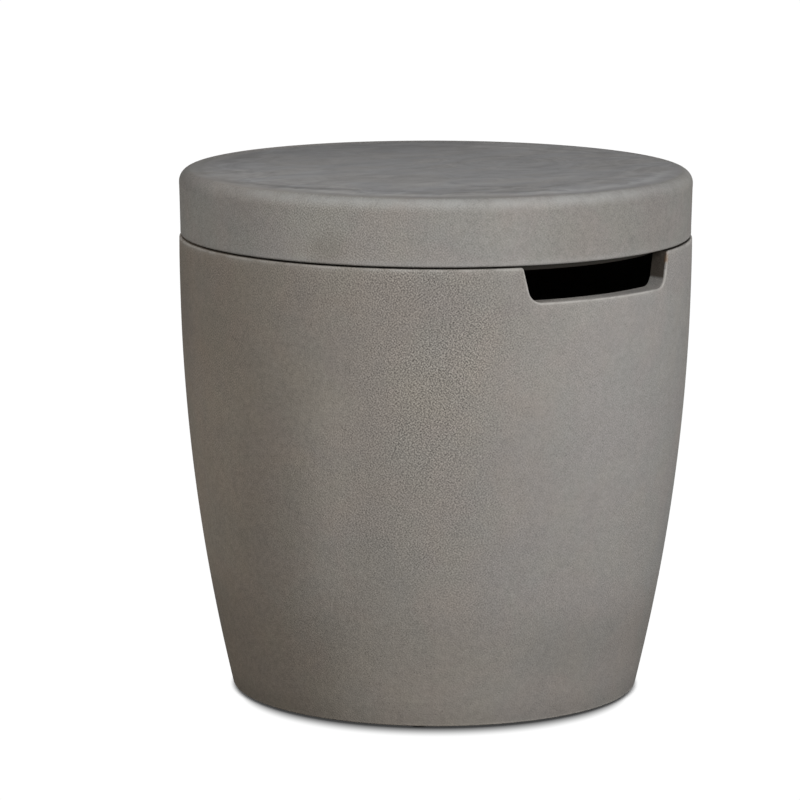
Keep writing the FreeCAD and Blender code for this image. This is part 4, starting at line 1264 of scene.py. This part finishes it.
# ------------------------------------------------------- floor, world, lights
def flat_floor():
    me = bpy.data.meshes.new("studio_floor")
    d = 30.0
    me.from_pydata(
        [(-d, -d, -0.0001), (d, -d, -0.0001), (d, d, -0.0001), (-d, d, -0.0001)],
        [],
        [(0, 1, 2, 3)],
    )
    ob = bpy.data.objects.new("studio_floor", me)
    bpy.context.scene.collection.objects.link(ob)
    mat = bpy.data.materials.new("studio_floor")
    mat.use_nodes = True
    nt = mat.node_tree
    nt.nodes.clear()
    out = nt.nodes.new("ShaderNodeOutputMaterial")
    # what lights the object: a plain pale floor
    pale = nt.nodes.new("ShaderNodeBsdfDiffuse")
    pale.inputs["Color"].default_value = (0.30, 0.30, 0.30, 1.0)
    # what is seen: an over-lit white floor with a short soft shadow that falls
    # before and behind the foot, and a fine line of contact all round
    def calc(op, x, y=None, clamp=False):
        nd = nt.nodes.new("ShaderNodeMath")
        nd.operation, nd.use_clamp = op, clamp
        for k, v in ((0, x), (1, y)):
            if isinstance(v, bpy.types.NodeSocket):
                nt.links.new(v, nd.inputs[k])
            elif v is not None:
                nd.inputs[k].default_value = v
        return nd.outputs[0]

    def ease(x, lo, hi, a=0.0, b=1.0):
        nd = nt.nodes.new("ShaderNodeMapRange")
        nd.interpolation_type = "SMOOTHSTEP"
        for k, v in (("From Min", lo), ("From Max", hi), ("To Min", a), ("To Max", b)):
            nd.inputs[k].default_value = v
        nt.links.new(x, nd.inputs["Value"])
        return nd.outputs[0]

    place = nt.nodes.new("ShaderNodeTexCoord").outputs["Object"]

    def reach(direction):
        nd = nt.nodes.new("ShaderNodeVectorMath")
        nd.operation = "DOT_PRODUCT"
        nt.links.new(place, nd.inputs[0])
        nd.inputs[1].default_value = direction
        return calc("ABSOLUTE", nd.outputs["Value"])

    across, along = reach(TO_RIGHT), reach(FACING)
    foot = 0.1895
    chord = calc("SUBTRACT", foot * foot, calc("MULTIPLY", across, across))
    chord = calc("SQRT", calc("MAXIMUM", chord, 0.0))
    fall = ease(calc("SUBTRACT", along, chord), -0.003, 0.042, 0.050, 1.02)
    sides = ease(across, foot - 0.003, foot + 0.004)
    seen = calc("ADD", fall, calc("MULTIPLY", sides, calc("SUBTRACT", 1.02, fall)))
    ao = nt.nodes.new("ShaderNodeAmbientOcclusion")
    ao.samples = 12
    ao.inputs["Distance"].default_value = 0.007
    seen = calc("MINIMUM", seen, ease(ao.outputs["AO"], 0.15, 0.85, 0.05, 1.02))
    glow = nt.nodes.new("ShaderNodeEmission")
    nt.links.new(seen, glow.inputs["Strength"])
    ray = nt.nodes.new("ShaderNodeLightPath")
    mix = nt.nodes.new("ShaderNodeMixShader")
    nt.links.new(ray.outputs["Is Camera Ray"], mix.inputs[0])
    nt.links.new(pale.outputs[0], mix.inputs[1])
    nt.links.new(glow.outputs[0], mix.inputs[2])
    nt.links.new(mix.outputs[0], out.inputs["Surface"])
    me.materials.append(mat)
    return ob


flat_floor()

world = bpy.data.worlds.new("studio")
bpy.context.scene.world = world
world.use_nodes = True
wt = world.node_tree
wt.nodes.clear()
w_out = wt.nodes.new("ShaderNodeOutputWorld")
w_fill = wt.nodes.new("ShaderNodeBackground")
w_fill.name = "fill"
w_fill.inputs["Color"].default_value = (1.0, 1.0, 1.0, 1.0)
w_fill.inputs["Strength"].default_value = 0.06
w_seen = wt.nodes.new("ShaderNodeBackground")
w_seen.inputs["Color"].default_value = (1.0, 1.0, 1.0, 1.0)
w_ray = wt.nodes.new("ShaderNodeLightPath")
w_mix = wt.nodes.new("ShaderNodeMixShader")
wt.links.new(w_ray.outputs["Is Camera Ray"], w_mix.inputs[0])
wt.links.new(w_fill.outputs[0], w_mix.inputs[1])
wt.links.new(w_seen.outputs[0], w_mix.inputs[2])
wt.links.new(w_mix.outputs[0], w_out.inputs["Surface"])

# name, side angle from the show side towards its right, elevation, distance,
# size, power
SOFTBOXES = [
    ("key", 45, 8, 2.8, 1.1, 48.0),
    ("left", -50, 30, 2.8, 1.1, 29.0),
    ("high", 25, 30, 2.8, 1.1, 21.0),
    ("back_right", 150, 30, 2.8, 1.2, 17.5),
    ("back_left", -150, 30, 2.8, 1.2, 17.5),
]
AIM = Vector((0.0, 0.0, 0.27))
for name, side_deg, up_deg, dist, size, power in SOFTBOXES:
    a, e = math.radians(side_deg), math.radians(up_deg)
    away = (
        Vector(FACING) * math.cos(a) * math.cos(e)
        + Vector(TO_RIGHT) * math.sin(a) * math.cos(e)
        + Vector((0, 0, 1)) * math.sin(e)
    )
    data = bpy.data.lights.new("softbox_" + name, "AREA")
    data.shape = "SQUARE"
    data.size = size
    data.energy = power
    lamp = bpy.data.objects.new("softbox_" + name, data)
    lamp.location = AIM + away * dist
    lamp.rotation_mode = "QUATERNION"
    lamp.rotation_quaternion = (-away).to_track_quat("-Z", "Y")
    bpy.context.scene.collection.objects.link(lamp)

# ---------------------------------------------------------------------- camera
DIST, HIGH, PITCH, FOCUS, MIDDLE_X, ROLL = 4.3, 1.01491, 9.6966, 4483.44, 435.164, 0.2023
cam_data = bpy.data.cameras.new("camera")
cam_data.sensor_fit = "HORIZONTAL"
cam_data.sensor_width = 36.0
cam_data.lens = FOCUS / 800.0 * 36.0
cam_data.shift_x = -(MIDDLE_X - 400.0) / 800.0
cam_data.shift_y = 0.0
cam_data.clip_start, cam_data.clip_end = 0.05, 200.0
cam = bpy.data.objects.new("camera", cam_data)
bpy.context.scene.collection.objects.link(cam)
facing = Vector(FACING).normalized()
forward = (
    -facing * math.cos(math.radians(PITCH))
    - Vector((0, 0, 1)) * math.sin(math.radians(PITCH))
)
right = forward.cross(Vector((0, 0, 1))).normalized()
up = right.cross(forward).normalized()
r = math.radians(ROLL)
x_axis = right * math.cos(r) + up * math.sin(r)
y_axis = up * math.cos(r) - right * math.sin(r)
turned = Matrix((x_axis, y_axis, -forward)).transposed()
cam.matrix_world = Matrix.Translation(facing * DIST + Vector((0, 0, HIGH))) @ turned.to_4x4()
bpy.context.scene.camera = cam

view = bpy.context.scene.view_settings
view.view_transform = "Standard"
view.look = "None"
view.exposure = 0.0
view.gamma = 1.0
